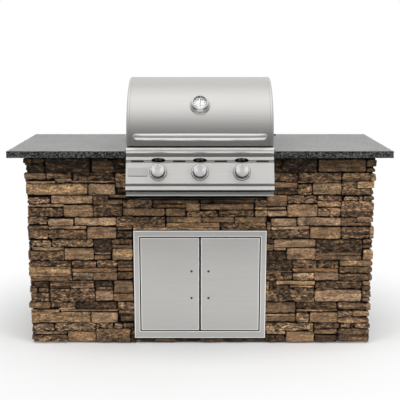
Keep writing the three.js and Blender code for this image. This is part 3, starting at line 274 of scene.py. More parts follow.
MIDDLE_MOULD_SHARES = {
    "lower": """0 23.9 51 98.5 Gr, 25.1 51.1 75 98.5 Ts, 51.6 75.4 76 96.5 Bs, 75.9 99.2 73 98.5 Bs,
        24.9 64.4 52 72 Ts, 65.6 99.2 48 72 Tr, 0 64.8 38 50 Ts, 66 100 38 46 Bs""",
    "upper": """0 14.4 40 77 Br, 15.6 21.8 59 77 Ds, 22.1 49.2 62 77 Ds, 15.2 39.3 42 55 Bs,
        39.7 50 26.5 61 Ts, 50.5 59 64 77 Ds, 59.8 90.2 62 77 Ds, 50.5 89.8 34.5 59 Bs, 91 100 46 77 Br,
        0 23.6 5.5 36.5 Bs, 24.8 38.9 5.5 36.5 Bs, 40.2 63.4 1.5 24.5 Tr, 64.3 89.8 2.5 29.5 Br,
        91 100 3 26.5 Ls, 91 100 31.5 42.5 Ls""",
    # Painted shade: the sill under the doorway is laid in D and the darkest tone K
    "sill": """0 14 0 17 Ks, 14.7 31 0 18 Ds, 31.6 49 0 17 Ks, 49.8 68 0 18 Ds, 68.8 84 0 17 Ks,
        84.6 100 0 17 Ds""",
}
LEFT_COURSES = ["foot", "crack", "slate", "long", "tower", "steps", "broad", "crack", "crown"]
RIGHT_COURSES = ["foot", "crack", "slate", "long", "tower", "steps", "broad", "shelf", "crown"]
SIDE_COURSES = ["broad", "steps", "long", "crack", "slate", "broad", "tower", "long", "crown"]
MIDDLE_COURSES = [None, None, None, None, None, "lower", "upper"]
SILL_COURSES = ["sill"]
TONES = {
    "L": srgb(188, 158, 127),
    "T": srgb(177, 144, 111),
    "Y": srgb(200, 165, 124),
    "O": srgb(152, 116, 82),
    "B": srgb(150, 121, 93),
    "G": srgb(160, 129, 99),
    "D": srgb(104, 81, 58),
    # K serves only as painted shade, on the crown and the sill
    "K": srgb(62, 47, 31),
}
SPLIT = {"r": 1.0, "l": 0.8, "g": 0.5, "s": 0.3}   # how coarsely each kind of face is split


def lattice(rng, across, up):
    return rng.random((up + 2, across + 2)) * 2 - 1


def smooth_noise(u, v, rng, cell_u, cell_v):
    """Smooth noise in -1..1 over points u, v in metres, with the given cell sizes."""
    x = (u - u.min()) / cell_u
    y = (v - v.min()) / cell_v
    grid = lattice(rng, int(x.max()) + 1, int(y.max()) + 1)
    i, j = x.astype(int), y.astype(int)
    a, b = x - i, y - j
    a, b = a * a * (3 - 2 * a), b * b * (3 - 2 * b)
    low = grid[j, i] * (1 - a) + grid[j, i + 1] * a
    high = grid[j + 1, i] * (1 - a) + grid[j + 1, i + 1] * a
    return low * (1 - b) + high * b


def broken(u, v, rng, cell_u, cell_v, octaves=3):
    total = np.zeros_like(u)
    for octave in range(octaves):
        step = 2**octave
        total += smooth_noise(u, v, rng, cell_u / step, cell_v / step) / step
    return total


def stone_relief(u, v, face, rng):
    """How far the split face stands out, in metres, over a grid of points."""
    if face == "s":
        return 1.6 * MM * broken(u, v, rng, 50 * MM, 20 * MM)
    if face == "g":
        return 2.1 * MM * broken(u, v, rng, 140 * MM, 9 * MM)
    if face == "l":
        wander = 5 * MM * smooth_noise(u, v, rng, 70 * MM, 60 * MM)
        layers = 3
        height = max(v.max() - v.min(), MM)
        step = (v - v.min() + wander) / height * layers
        ledge = np.floor(step) + np.clip((step % 1 - 0.75) * 4, 0, 1)
        shift = rng.random(layers + 4) * 7 * MM - 3 * MM
        level = shift[np.clip(ledge.astype(int) + 1, 0, layers + 3)]
        return level + 1.3 * MM * broken(u, v, rng, 40 * MM, 10 * MM)
    peaks = np.abs(broken(u, v, rng, 34 * MM, 16 * MM))
    return 6.5 * MM * peaks - 2.5 * MM + 1.5 * MM * broken(u, v, rng, 12 * MM, 6 * MM, 2)


def grid_lines(length, cell, fewest):
    """Shares of a length: even inside, with one more line close to each end."""
    lines = np.linspace(0, 1, max(fewest, int(round(length / cell))) + 1)
    close = min(1.2 * MM / length, 0.15)
    return np.concatenate([[0, close], lines[1:-1], [1 - close, 1]])


def stone(left, right, low, high, face_depth, kind, rng, cell, deepest, runs_on):
    """One stone: a split face with sharp edges, its four sides and a flat back."""
    along = grid_lines(right - left, cell, 4)
    upward = grid_lines(high - low, cell, 3)
    a, b = np.meshgrid(along, upward)
    u = left + a * (right - left)
    v = low + b * (high - low)
    rough = SPLIT[kind]
    # Where a stone runs on into the next wall, that end keeps no edge, and its face stays level there
    edge_left = u - left + (runs_on < 0)
    edge_right = right - u + (runs_on > 0)
    edge_u = np.minimum(edge_left, edge_right)
    edge_v = np.minimum(v - low, high - v)
    edge = np.minimum(edge_u, edge_v)
    waver = (1.1 + 2 * rough) * MM
    broken_width, corner_width, worn_width, fade_width = 10 * MM, 5 * MM, 1.3 * MM, 30 * MM
    near = np.clip(1 - edge / broken_width, 0, 1)
    bend_u = smooth_noise(u, v, rng, 30 * MM, 12 * MM) * waver * near
    bend_v = smooth_noise(u, v, rng, 22 * MM, 22 * MM) * waver * near
    centre_u, centre_v = (left + right) / 2, (low + high) / 2
    pull = np.clip(1 - (edge_u + edge_v) / corner_width, 0, 1) * (0.8 + 2.4 * rough) * MM
    u2 = np.clip(u + bend_u - np.sign(u - centre_u) * pull, left - MM, right + MM)
    v2 = np.clip(v + bend_v - np.sign(v - centre_v) * pull, low - MM, high + MM)
    relief = stone_relief(u, v, kind, rng)
    tilt = (rng.random() - 0.5) * 5 * MM * (b - 0.5) + (rng.random() - 0.5) * 4 * MM * (a - 0.5)
    if runs_on:
        fade = np.clip(np.where(runs_on > 0, right - u, u - left) / fade_width, 0, 1)
        relief, tilt = relief * fade, tilt * fade
    chip = np.clip(broken(u, v, rng, 16 * MM, 10 * MM, 2) - 0.1, 0, 1) * 7 * MM * rough
    wear = np.clip(1 - edge / worn_width, 0, 1) * worn_width + near**2 * chip
    depth = np.minimum(face_depth - relief - tilt + wear, deepest - 3 * MM)
    grid = np.stack([u2, depth, v2], -1).reshape(-1, 3)
    index = np.arange(grid.shape[0]).reshape(len(upward), len(along))
    faces = np.stack([index[:-1, :-1], index[:-1, 1:], index[1:, 1:], index[1:, :-1]], -1).reshape(-1, 4)
    loop = np.concatenate([index[0, :], index[1:, -1], index[-1, -2::-1], index[-2:0:-1, 0]])
    points, quads = [grid], [faces]
    count = grid.shape[0]
    previous = loop
    border = grid[loop]
    for share in (0.4, 1):
        rim = border.copy()
        rim[:, 1] = border[:, 1] * (1 - share) + deepest * share
        points.append(rim)
        ring = count + np.arange(len(loop))
        count += len(loop)
        quads.append(np.stack([np.roll(previous, -1), previous, ring, np.roll(ring, -1)], -1))
        previous = ring
    # Painted shade, kept in the colour's alpha: darker where the face sinks or is chipped, and darker still on the
    # stone's sides
    hollow = relief.reshape(-1) / (9 * MM) - near.reshape(-1) * chip.reshape(-1) / (8 * MM)
    shade = np.concatenate([np.clip(0.55 + hollow, 0, 1), np.full(2 * len(loop), 0.2)])
    return np.concatenate(points), np.concatenate(quads), list(previous), shade


def placed_stones(blocks, bounds):
    """Each stone of a wall: its sides, the depth of its face, its code and which way it runs on."""
    left_end, right_end, slab_left, slab_right, low_end, high_end = bounds
    least_width, least_height, slim_height = 6 * MM, 4 * MM, 15 * MM
    proud, slim_set_back = 5 * MM, 3 * MM
    relief_span = 9 * MM
    relief_shares = [0.5, 0.85, 0.3, 1, 0.65]
    for start, end, moulds, courses in blocks:
        outer_left = left_end if start <= slab_left + MM else start + 2 * MM
        outer_right = right_end if end >= slab_right - MM else end - 2 * MM
        for course, mould in enumerate(courses):
            rows = moulds[mould].split(",") if mould else []
            for count, row in enumerate(rows):
                *shares, code = row.split()
                a, b, c, d = (float(share) / 100 for share in shares)
                x0 = max(outer_left, start + a * (end - start))
                x1 = min(outer_right, start + b * (end - start))
                z0 = max(low_end, (course + c) * COURSE)
                z1 = min(high_end, (course + d) * COURSE)
                if z1 - z0 < least_height or x1 - x0 < least_width:
                    continue
                relief = relief_shares[(count + course) % len(relief_shares)] * relief_span
                face = relief_span / 2 - relief * 0.8 - (proud if a < 0 or b > 1 else 0)
                if z1 - z0 < slim_height:
                    face += slim_set_back
                # Two courses run on from the left wall into the middle one, across their seam
                runs_on = 0
                if course in (5, 6) and code in ("Gr", "Br", "Bs") and min(a, 1 - b) == 0:
                    seam = start if a == 0 else end
                    if abs(seam + CUTOUT_HALF) < MM:
                        runs_on = -1 if a == 0 else 1
                        face = 0
                        x0, x1 = (seam + 0.3 * MM, x1) if a == 0 else (x0, seam)
                yield x0, x1, z0, z1, face, code, runs_on


def stone_wall(name, blocks, bounds, pose, cell, seed, joint_low):
    """A wall of stones in its own frame: x along it, y zero at the face and into it, z up."""
    rng = np.random.default_rng(seed)
    points, faces, colours, splits = [], [], [], []
    total = 0
    deepest = VENEER - 3 * MM
    for x0, x1, z0, z1, face, (hue, kind), runs_on in placed_stones(blocks, bounds):
        made, quads, back, shade = stone(x0, x1, z0, z1, face, kind, rng, cell, deepest, runs_on)
        tone = np.array(TONES[hue][:3]) * (1 if runs_on else 0.88 + 0.24 * rng.random())
        tone[2] *= 1 if runs_on else 0.94 + 0.12 * rng.random()
        splits.append(np.full(len(made), SPLIT[kind] * (1.25 if hue in "DG" else 1)))
        points.append(made)
        faces += (quads + total).tolist()
        faces.append(tuple(index + total for index in back))
        colours.append(np.concatenate([np.tile(tone, (len(made), 1)), shade[:, None]], 1))
        total += len(made)
    slab_left, slab_right, low_end, high_end = bounds[2:]
    slab_face = VENEER - SLAB
    xs, ys, zs = (slab_left, slab_right), (slab_face, VENEER), (low_end, high_end)
    slab = [(x, y, z) for z in zs for y in ys for x in xs]
    points.append(np.array(slab))
    for quad in ((0, 1, 5, 4), (3, 2, 6, 7), (2, 0, 4, 6), (1, 3, 7, 5), (4, 5, 7, 6), (2, 3, 1, 0)):
        faces.append(tuple(total + k for k in quad))
    # The slab shows in the joints: dark brown, and darkened further by its alpha of 0.1 as painted shade
    colours.append(np.tile(np.array([*joint_low, 0.1]), (8, 1)))
    splits.append(np.zeros(8))
    mesh = mesh_from(name, np.concatenate(points), faces)
    mesh.transform(pose)
    attribute = mesh.attributes.new("stone", "FLOAT_COLOR", "POINT")
    attribute.data.foreach_set("color", np.concatenate(colours).astype(np.float32).ravel())
    split = mesh.attributes.new("split", "FLOAT", "POINT")
    split.data.foreach_set("value", np.concatenate(splits).astype(np.float32))
    for polygon in mesh.polygons:
        polygon.use_smooth = True
    return add_object(name, mesh)


def stone_walls(material):
    rest = COUNTER_LOW.z - 0.3 * MM
    foot = 8 * MM
    reach = WALL_HALF + 8 * MM
    slab = WALL_HALF - 5 * MM
    joint = srgb(46, 34, 25)[:3]
    fine, plain = 4 * MM, 6.5 * MM
    doorway_top, recess = (corner.z for corner in corners("front_veneer_middle"))
    side_low, side_high = corners("left_veneer")
    side_half = (side_high.y - side_low.y) / 2
    side_middle = (side_high.y + side_low.y) / 2
    front = Matrix.Translation((0, WALL_FRONT, 0))
    rear = Matrix.Translation((0, WALL_REAR, 0)) @ Matrix.Rotation(math.pi, 4, "Z")
    third = 2 * WALL_HALF / 3
    rear_blocks = [
        (k * third - WALL_HALF, (k + 1) * third - WALL_HALF, moulds, courses)
        for k, (moulds, courses) in enumerate((
            (LEFT_MOULD_SHARES, SIDE_COURSES), (RIGHT_MOULD_SHARES, RIGHT_COURSES),
            (LEFT_MOULD_SHARES, SIDE_COURSES)))
    ]
    inner = CUTOUT_HALF - 0.3 * MM
    walls = [
        ("front_veneer_left", [(-WALL_HALF, -CUTOUT_HALF, LEFT_MOULD_SHARES, LEFT_COURSES)],
         (-reach, -CUTOUT_HALF, -slab, -CUTOUT_HALF, foot, rest), front, fine),
        ("front_veneer_right", [(CUTOUT_HALF, WALL_HALF, RIGHT_MOULD_SHARES, RIGHT_COURSES)],
         (CUTOUT_HALF, reach, CUTOUT_HALF, slab, foot, rest), front, fine),
        ("front_veneer_middle", [(-CUTOUT_HALF, CUTOUT_HALF, MIDDLE_MOULD_SHARES, MIDDLE_COURSES)],
         (-inner, inner, -inner, inner, doorway_top, recess), front, fine),
        ("front_veneer_sill", [(-CUTOUT_HALF, CUTOUT_HALF, MIDDLE_MOULD_SHARES, SILL_COURSES)],
         (-inner, inner, -inner, inner, foot, corners("front_veneer_sill")[1].z), front, fine),
        ("rear_veneer", rear_blocks, (-reach, reach, -slab, slab, foot, rest), rear, plain),
    ]
    for node, side, moulds in (
            ("left_veneer", -1, RIGHT_MOULD_SHARES), ("right_veneer", 1, LEFT_MOULD_SHARES)):
        turn = Matrix.Rotation(side * math.pi / 2, 4, "Z")
        pose = Matrix.Translation((side * WALL_HALF, side_middle, 0)) @ turn
        side_bounds = (-side_half, side_half, -side_half, side_half, foot, rest)
        walls.append((node, [(-side_half, side_half, moulds, SIDE_COURSES)], side_bounds, pose, plain))
    for seed, (node, blocks, bounds, pose, cell) in enumerate(walls):
        wall = stone_wall(node + "_stones", blocks, bounds, pose, cell, seed, joint)
        dress(wall, node, "ledge_stone", material)


def stone_material():
    made = Shader("ledge_stone", Roughness=0.9)
    stone_colour = made.node("ShaderNodeAttribute", attribute_name="stone")
    split = made.node("ShaderNodeAttribute", attribute_name="split").outputs["Fac"]
    even = (1, 1, 1)
    tone = stone_colour.outputs["Color"]
    tone = made.times(tone, made.patches((9, 9, 60), 1.0, 5, 0.65, 0.34, 0.66, 0.5, 1.26))
    cream = made.patches((30, 30, 75), 1.0, 4, 0.65, 0.53, 0.7)
    tone = made.layer(tone, cream, 0.4, (0.62, 0.46, 0.3, 1))
    # Stains and pits gather on the split faces
    stain = made.patches(even, 17, 5, 0.68, 0.46, 0.66)
    tone = made.layer(tone, stain, made.math("MULTIPLY", split, 0.5), (0.052, 0.034, 0.021, 1))
    pits = made.patches((70, 70, 190), 1.0, 4, 0.62, 0.5, 0.62)
    tone = made.layer(tone, pits, made.math("MULTIPLY", split, 0.8), (0.022, 0.015, 0.01, 1))
    # Cracks follow the contours of a drawn-out noise, and fade in and out along the stone
    contour = made.math("SUBTRACT", made.noise(made.place((13, 13, 42)), 1.0, 3, 0.6), 0.5)
    near_contour = made.grey_ramp(made.math("ABSOLUTE", contour), 0.003, 0.016, 1, 0)
    crack = made.math("MULTIPLY", near_contour, made.patches(even, 23, 3, 0.5, 0.47, 0.56))
    tone = made.layer(tone, crack, 0.8, (0.03, 0.02, 0.013, 1))
    blotch = made.patches((42, 42, 80), 1.0, 3, 0.6, 0.54, 0.66)
    tone = made.layer(tone, blotch, 0.42, (0.075, 0.05, 0.032, 1))
    # Painted shade from the alpha: sunken and chipped spots, the stones' sides and the slab in the joints grow
    # darker
    tone = made.times(tone, made.grey_ramp(stone_colour.outputs["Alpha"], 0.1, 0.66, 0.2, 1.1))
    # Grit, grains and ragged flakes, from fine to coarse
    tone = made.times(tone, made.patches(even, 420, 2, 0.6, 0.3, 0.7, 0.72, 1.14))
    tone = made.times(tone, made.patches((110, 110, 150), 1.0, 2, 0.6, 0.34, 0.66, 0.66, 1.3))
    ragged = made.patches((62, 62, 110), 1.0, 3, 0.65, 0.42, 0.6, 0.34, 1.42)
    tone = made.layer(tone, split, 0.8, made.times(tone, ragged))
    tone = made.times(tone, (1.16, 1.09, 1.0, 1))
    dents = made.math("ADD", made.math("MULTIPLY", pits, 0.5), made.math("MULTIPLY", crack, 0.35))
    height = made.math("SUBTRACT", made.noise(made.place((20, 20, 70)), 1.6, 5, 0.68), dents)
    return made.set(Base_Color=tone, Normal=made.bump(height, 1.0, 6 * MM))


# Finished pieces
def finish(made, slot, material, body="island"):
    """A finished piece, on its body and with the material; the slot is not used."""
    made.data.materials.clear()
    made.data.materials.append(material)
    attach(made, body)
    return made


def dress(made, node, slot, material, body="island"):
    """A finished piece that stands for one CAD node."""
    finish(made, slot, material, body)
    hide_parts(node)
    return made


def parted(made, materials, choose):
    """Further materials for some faces: choose gives a face's number from its centre."""
    for material in materials:
        made.data.materials.append(material)
    for polygon in made.data.polygons:
        polygon.material_index = int(choose(polygon.center))


def evaluated_mesh(made):
    graph = bpy.context.evaluated_depsgraph_get()
    return bpy.data.meshes.new_from_object(made.evaluated_get(graph))


def applied(made):
    """The object's evaluated shape as a plain mesh, with its modifiers removed."""
    mesh = evaluated_mesh(made)
    made.modifiers.clear()
    made.data = mesh
    return made


def rounded(made, edge, steps):
    """Rounds every sharp edge, and keeps the flat faces flat."""
    for polygon in made.data.polygons:
        polygon.use_smooth = True
    bevel = made.modifiers.new("edges", "BEVEL")
    bevel.width = edge
    bevel.segments = steps
    bevel.limit_method = "ANGLE"
    bevel.angle_limit = math.radians(SHARP)
    bevel.harden_normals = True
    return applied(made)


def softened(node, name, edge, steps):
    """A copy of a CAD node's shape, with doubles merged, flat faces joined and edges rounded."""
    mesh = NODES[node].data.copy()
    shape = bmesh.new()
    shape.from_mesh(mesh)
    bmesh.ops.remove_doubles(shape, verts=shape.verts, dist=0.01 * MM)
    bmesh.ops.dissolve_limit(shape, angle_limit=math.radians(0.5), verts=shape.verts, edges=shape.edges)
    shape.to_mesh(mesh)
    shape.free()
    if "custom_normal" in mesh.attributes:
        mesh.attributes.remove(mesh.attributes["custom_normal"])
    return rounded(add_object(name, mesh), edge, steps)


def lofted(name, rings, capped=True):
    """A skin over rings of points, each ring with as many points as the next."""
    count = len(rings[0])
    points = [point for ring in rings for point in ring]
    faces = []
    for k in range(len(rings) - 1):
        for j in range(count):
            a, b = k * count + j, k * count + (j + 1) % count
            faces.append((a, b, b + count, a + count))
    if capped:
        faces.append(tuple(reversed(range(count))))
        faces.append(tuple(range(len(points) - count, len(points))))
    made = add_object(name, mesh_from(name, points, faces))
    facing_out(made.data)
    return made


def facing_out(mesh):
    shape = bmesh.new()
    shape.from_mesh(mesh)
    bmesh.ops.remove_doubles(shape, verts=shape.verts, dist=0.001 * MM)
    bmesh.ops.recalc_face_normals(shape, faces=shape.faces)
    shape.to_mesh(mesh)
    shape.free()
    mesh.update()


def joined(name, parts):
    """One object from several plain ones, which are then removed."""
    mesh = bpy.data.meshes.new(name)
    whole = bmesh.new()
    for part in parts:
        whole.from_mesh(part.data)
        bpy.data.objects.remove(part)
    whole.to_mesh(mesh)
    whole.free()
    return shaded(add_object(name, mesh))


def split_at(made, cuts):
    """Cuts the faces at (axis, place), so that a finish can end there."""
    shape = bmesh.new()
    shape.from_mesh(made.data)
    for axis, place in cuts:
        normal = Vector((0, 0, 0))
        normal[axis] = 1
        everything = shape.verts[:] + shape.edges[:] + shape.faces[:]
        bmesh.ops.bisect_plane(shape, geom=everything, plane_co=normal * place, plane_no=normal)
    shape.to_mesh(made.data)
    shape.free()


def shaded(made, limit=SHARP):
    """Smooth over gentle angles, sharp over the rest."""
    for polygon in made.data.polygons:
        polygon.use_smooth = True
    made.data.set_sharp_from_angle(angle=math.radians(limit))
    return made


def around(sides):
    """The cosine and sine of each corner of a regular polygon."""
    turns = [2 * math.pi * k / sides for k in range(sides)]
    return [(math.cos(turn), math.sin(turn)) for turn in turns]


def lathed(name, profile, centre, axis, sides=96):
    """A profile of (radius, height) points in millimetres, turned about the axis through the centre."""
    centre, axis = Vector(centre), Vector(axis).normalized()
    side = Vector((0, 1, 0) if abs(axis.x) > 0.9 else (1, 0, 0))
    up = axis.cross(side)
    rings = []
    for radius, height in profile:
        level = centre + axis * (height * MM)
        rings.append([level + side * (radius * MM) * across + up * (radius * MM) * rise
                      for across, rise in around(sides)])
    made = shaded(lofted(name, rings, capped=False))
    # The turning marks run round the axis at each point
    grain = made.data.attributes.new("grain", "FLOAT_VECTOR", "POINT")
    for vertex, entry in zip(made.data.vertices, grain.data):
        entry.vector = axis.cross(vertex.co - centre).normalized()
    return made


def prism(name, outline, heights):
    """A plate with the outline, between two heights, all in millimetres."""
    return lofted(name, [[(x * MM, y * MM, z * MM) for x, y in outline] for z in heights])


def on_axis(centre, axis):
    """A frame with its z along the axis and its x along the object's width."""
    axis = Vector(axis).normalized()
    side = Vector((1, 0, 0))
    turn = Matrix((side, axis.cross(side), axis)).transposed().to_4x4()
    return Matrix.Translation(centre) @ turn


def grown(name, made, values):
    """What a tree of Geometry Nodes makes with these inputs, as a plain mesh."""
    piece = add_object(name, bpy.data.meshes.new(name))
    modifier = piece.modifiers.new(name, "NODES")
    modifier.node_group = made.tree
    for socket in made.tree.interface.items_tree:
        if socket.in_out == "INPUT":
            modifier[socket.identifier] = values[socket.name]
    return applied(piece)


def copied(made, given, out, copies):
    """The end of a tree of copies: real faces with their material."""
    real = made.node("GeometryNodeRealizeInstances", {"Geometry": copies.outputs["Instances"]})
    paint = made.node("GeometryNodeSetMaterial", {
        "Geometry": real.outputs["Geometry"], "Material": given["Material"]})
    made.feed(out["Geometry"], paint.outputs["Geometry"])


def row_of(name, count, step, start, shape, material):
    """Copies of a small shape along a line, by Geometry Nodes."""
    made, given, out = group_tree(
        name, "GeometryNodeTree",
        {"Count": "Int", "Start": "Vector", "Step": "Vector", "Shape": "Object", "Material": "Material"},
        {"Geometry": "Geometry"})
    line = made.node("GeometryNodeMeshLine", {
        "Count": given["Count"], "Start Location": given["Start"], "Offset": given["Step"]}, mode="OFFSET")
    source = made.node("GeometryNodeObjectInfo", {"Object": given["Shape"]})
    copies = made.node("GeometryNodeInstanceOnPoints", {
        "Points": line.outputs["Mesh"], "Instance": source.outputs["Geometry"]})
    copied(made, given, out, copies)
    row = grown(name, made, {
        "Count": count, "Start": start, "Step": step, "Shape": shape, "Material": material})
    bpy.data.objects.remove(shape)
    return row


def marks_round(name, count, radius, first, last, size, every, material):
    """Marks on an arc, by Geometry Nodes: one in so many is longer."""
    made, given, out = group_tree(
        name, "GeometryNodeTree",
        {"Count": "Int", "Radius": "Float", "Mark Size": "Vector", "Material": "Material"},
        {"Geometry": "Geometry"})
    index = made.node("GeometryNodeInputIndex").outputs[0]
    pitch = math.radians((last - first) / (count - 1))
    turn = made.math("MULTIPLY_ADD", index, -pitch, -math.radians(first))
    reach = made.node("ShaderNodeCombineXYZ", {"Y": given["Radius"]}).outputs[0]
    place = made.node("ShaderNodeVectorRotate", {"Vector": reach, "Angle": turn}, rotation_type="Z_AXIS")
    points = made.node("GeometryNodeMeshLine", {"Count": given["Count"], "Offset": (0, 0, 0)}, mode="OFFSET")
    seat = made.node("GeometryNodeSetPosition", {
        "Geometry": points.outputs["Mesh"], "Position": place.outputs[0]})
    longer = made.math("LESS_THAN", made.math("MODULO", index, every), 0.5)
    length = made.math("MULTIPLY_ADD", longer, 0.7, 1)
    stretch = made.node("ShaderNodeCombineXYZ", {"X": 1, "Y": length, "Z": 1})
    copies = made.node("GeometryNodeInstanceOnPoints", {
        "Points": seat.outputs["Geometry"],
        "Instance": made.node("GeometryNodeMeshCube", {"Size": given["Mark Size"]}).outputs["Mesh"],
        "Rotation": made.node("ShaderNodeCombineXYZ", {"Z": turn}).outputs[0],
        "Scale": stretch.outputs[0]})
    copied(made, given, out, copies)
    return grown(name, made, {"Count": count, "Radius": radius, "Mark Size": size, "Material": material})


def bar(name, start, end, radius, sides=10, rise=None):
    """A round or oval rod with soft ends, from start to end."""
    start, end = Vector(start), Vector(end)
    axis = (end - start).normalized()
    side = axis.orthogonal().normalized()
    if abs(axis.z) < 0.9:
        side = axis.cross(Vector((0, 0, 1))).normalized()
    up = side.cross(axis)
    rise = rise or radius
    length = (end - start).length
    rings = []
    for share, size in ((0, 0.6), (0.08, 0.9), (0.2, 1), (-0.2, 1), (-0.08, 0.9), (0, 0.6)):
        along = radius * share * 4 if share > 0 or not rings else length + radius * share * 4
        rings.append([start + axis * along + side * radius * size * cos + up * rise * size * sin
                      for cos, sin in around(sides)])
    return shaded(lofted(name, rings), 50)


# The granite top: a sawn notch for the grill, and a chiselled edge all round
def slab_outline(low, high):
    """Points round the slab, and for each the way inward, the length walked and how rough it is."""
    notch_back = low.y + 510 * MM
    step, sawn_step = 4.5 * MM, 60 * MM
    smooth_end = 30 * MM
    path = [
        (-CUTOUT_HALF, low.y, step), (low.x, low.y, step), (low.x, high.y, step),
        (high.x, high.y, step), (high.x, low.y, step), (CUTOUT_HALF, low.y, sawn_step),
        (CUTOUT_HALF, notch_back, sawn_step), (-CUTOUT_HALF, notch_back, sawn_step),
    ]
    points, inward, along, rough = [], [], [], []
    walked = 0
    for k, (x, y, spacing) in enumerate(path):
        to_x, to_y, _ = path[(k + 1) % len(path)]
        from_x, from_y, before = path[k - 1]
        length = math.hypot(to_x - x, to_y - y)
        count = max(1, round(length / spacing))
        right = np.array([(to_y - y) / length, (x - to_x) / length])
        for j in range(count):
            into = right
            if j == 0 and spacing == before == step:
                back = math.hypot(x - from_x, y - from_y)
                into = right + np.array([(y - from_y) / back, (from_x - x) / back])
            points.append((x + (to_x - x) * j / count, y + (to_y - y) * j / count))
            inward.append(into)
            along.append(walked + length * j / count)
            near_end = min(length * j / count, length * (1 - j / count)) / smooth_end
            rough.append(min(1, 0.25 + near_end) if spacing == step else 0)
        walked += length
    return np.array(points), np.array(inward), np.array(along), np.array(rough)


def granite_top(polished, split):
    low, high = corners("countertop")
    thick = high.z - low.z
    height_shares = np.array([0, 0.05, 0.16, 0.34, 0.52, 0.7, 0.86, 0.96, 1])
    lower_arris_share, upper_arris_share = 0.2, 0.16
    facet_depth, fine_depth, chip_depth = 3.6 * MM, 1.1 * MM, 5 * MM
    arris_depth, top_set_back = 0.9 * MM, 0.7 * MM
    points, inward, along, rough = slab_outline(low, high)
    u, v = np.meshgrid(along, height_shares * thick)
    rng = np.random.default_rng(21)
    facets = np.abs(broken(u, v, rng, 42 * MM, 30 * MM)) * facet_depth
    fine = np.abs(broken(u, v, rng, 9 * MM, 8 * MM, 2)) * fine_depth
    chips = np.clip(broken(u, v, rng, 17 * MM, 60 * MM, 2) - 0.1, 0, 1) * chip_depth
    share = v / thick
    arris = np.clip(1 - share / lower_arris_share, 0, 1) ** 2
    arris += np.clip((share - 1 + upper_arris_share) / upper_arris_share, 0, 1) ** 2
    depth = (facets + fine) * (1 - 0.55 * arris) + arris * (arris_depth + chips)
    depth *= rough[None, :]
    depth[-1] += top_set_back * rough
    rows = []
    for height, inset in zip(height_shares, depth):
        z = np.full(len(points), low.z + height * thick)
        rows.append(np.column_stack([points + inward * inset[:, None], z]))
    made = dress(lofted("granite_top", rows), "countertop", "granite", polished)
    made.data.materials.append(split)
    for polygon in made.data.polygons:
        flat = abs(polygon.normal.z) > 0.99 and len(polygon.vertices) > 4
        sawn = not flat and max(rough[k % len(points)] for k in polygon.vertices) == 0
        polygon.material_index = 0 if flat or sawn else 1
        polygon.use_smooth = not (flat or sawn)


def speckled(made, light, dark, share, fineness):
    """Granite crystals: dark ground, grey and pale grains of a few millimetres."""
    clouds = made.noise(made.place(), 90, 4, 0.65)
    grains = made.math("MULTIPLY", made.cells(fineness, "Red"), 0.55)
    mixed = made.math("ADD", grains, made.math("MULTIPLY", clouds, 0.45))
    middle = tuple((a + b) / 2 for a, b in zip(light, dark))
    return made.ramp(mixed, [(share - 0.12, dark), (share, middle), (share + 0.16, light)]), clouds


def granite_materials():
    polished = Shader("granite_polished")
    colour, _ = speckled(polished, (0.27, 0.27, 0.262, 1), (0.075, 0.075, 0.073, 1), 0.47, 420)
    haze = polished.patches((1, 1, 1), 7, 4, 0.5, 0.3, 0.7, 0.3, 0.36)
    polished.set(Base_Color=colour, Roughness=haze)
    split = Shader("granite_split", Roughness=0.7)
    colour, clouds = speckled(split, (0.125, 0.125, 0.118, 1), (0.003, 0.003, 0.003, 1), 0.6, 230)
    grit = split.noise(split.place(), 260, 4, 0.7)
    height = split.math("ADD", clouds, split.math("MULTIPLY", grit, 0.6))
    split.set(Base_Color=colour, Normal=split.bump(height, 0.9, 3 * MM))
    return polished.material, split.material


# Shader groups that several materials use
def brushing_group():
    """Fine parallel scratches and soft clouds. The stretch sets the scratches' direction."""
    made, given, out = group_tree("brushing", "ShaderNodeTree", {"Stretch": "Vector", "Cloud Size": "Float"},
                                  {"Scratch": "Float", "Cloud": "Float"})
    where = made.node("ShaderNodeTexCoord").outputs["Object"]
    drawn_out = made.node("ShaderNodeMapping", {"Vector": where, "Scale": given["Stretch"]}).outputs["Vector"]
    made.feed(out["Scratch"], made.noise(drawn_out, 1, 4, 0.7))
    made.feed(out["Cloud"], made.noise(where, given["Cloud Size"], 3))
    return made.tree


def soot_group():
    """A mask of soot and grease in patches, and the height of their crust."""
    made, given, out = group_tree("soot", "ShaderNodeTree", {"Size": "Float", "Amount": "Float"},
                                  {"Soot": "Float", "Crust": "Float"})
    patch = made.noise(made.node("ShaderNodeTexCoord").outputs["Object"], given["Size"], 5, 0.65)
    grown_over = made.math("MULTIPLY_ADD", patch, 2.4, given["Amount"])
    grown_over.node.use_clamp = True
    made.feed(out["Soot"], grown_over)
    made.feed(out["Crust"], patch)
    return made.tree


# Metals
def brushed_steel(name, stretch, tone, roughness=0.3, metallic=1.0, scored=0.12, warmth=0.985):
    """Steel with fine parallel scratches. The lower the warmth, the warmer the grey."""
    made = Shader(name, Metallic=metallic)
    effect = made.group(BRUSHING, {"Stretch": stretch, "Cloud Size": 5.0})
    scratch, cloud = effect["Scratch"], effect["Cloud"]
    dark = (tone * 0.93, tone * 0.93 * warmth, tone * 0.9 * warmth, 1)
    light = (min(1, tone * 1.05), min(1, tone * 1.05 * warmth), tone * 1.02 * warmth, 1)
    return made.set(
        Base_Color=made.ramp(scratch, [(0.3, dark), (0.7, light)]),
        Roughness=made.math("MULTIPLY_ADD", cloud, 0.08, roughness - 0.04),
        Normal=made.bump(scratch, scored, 0.4 * MM))


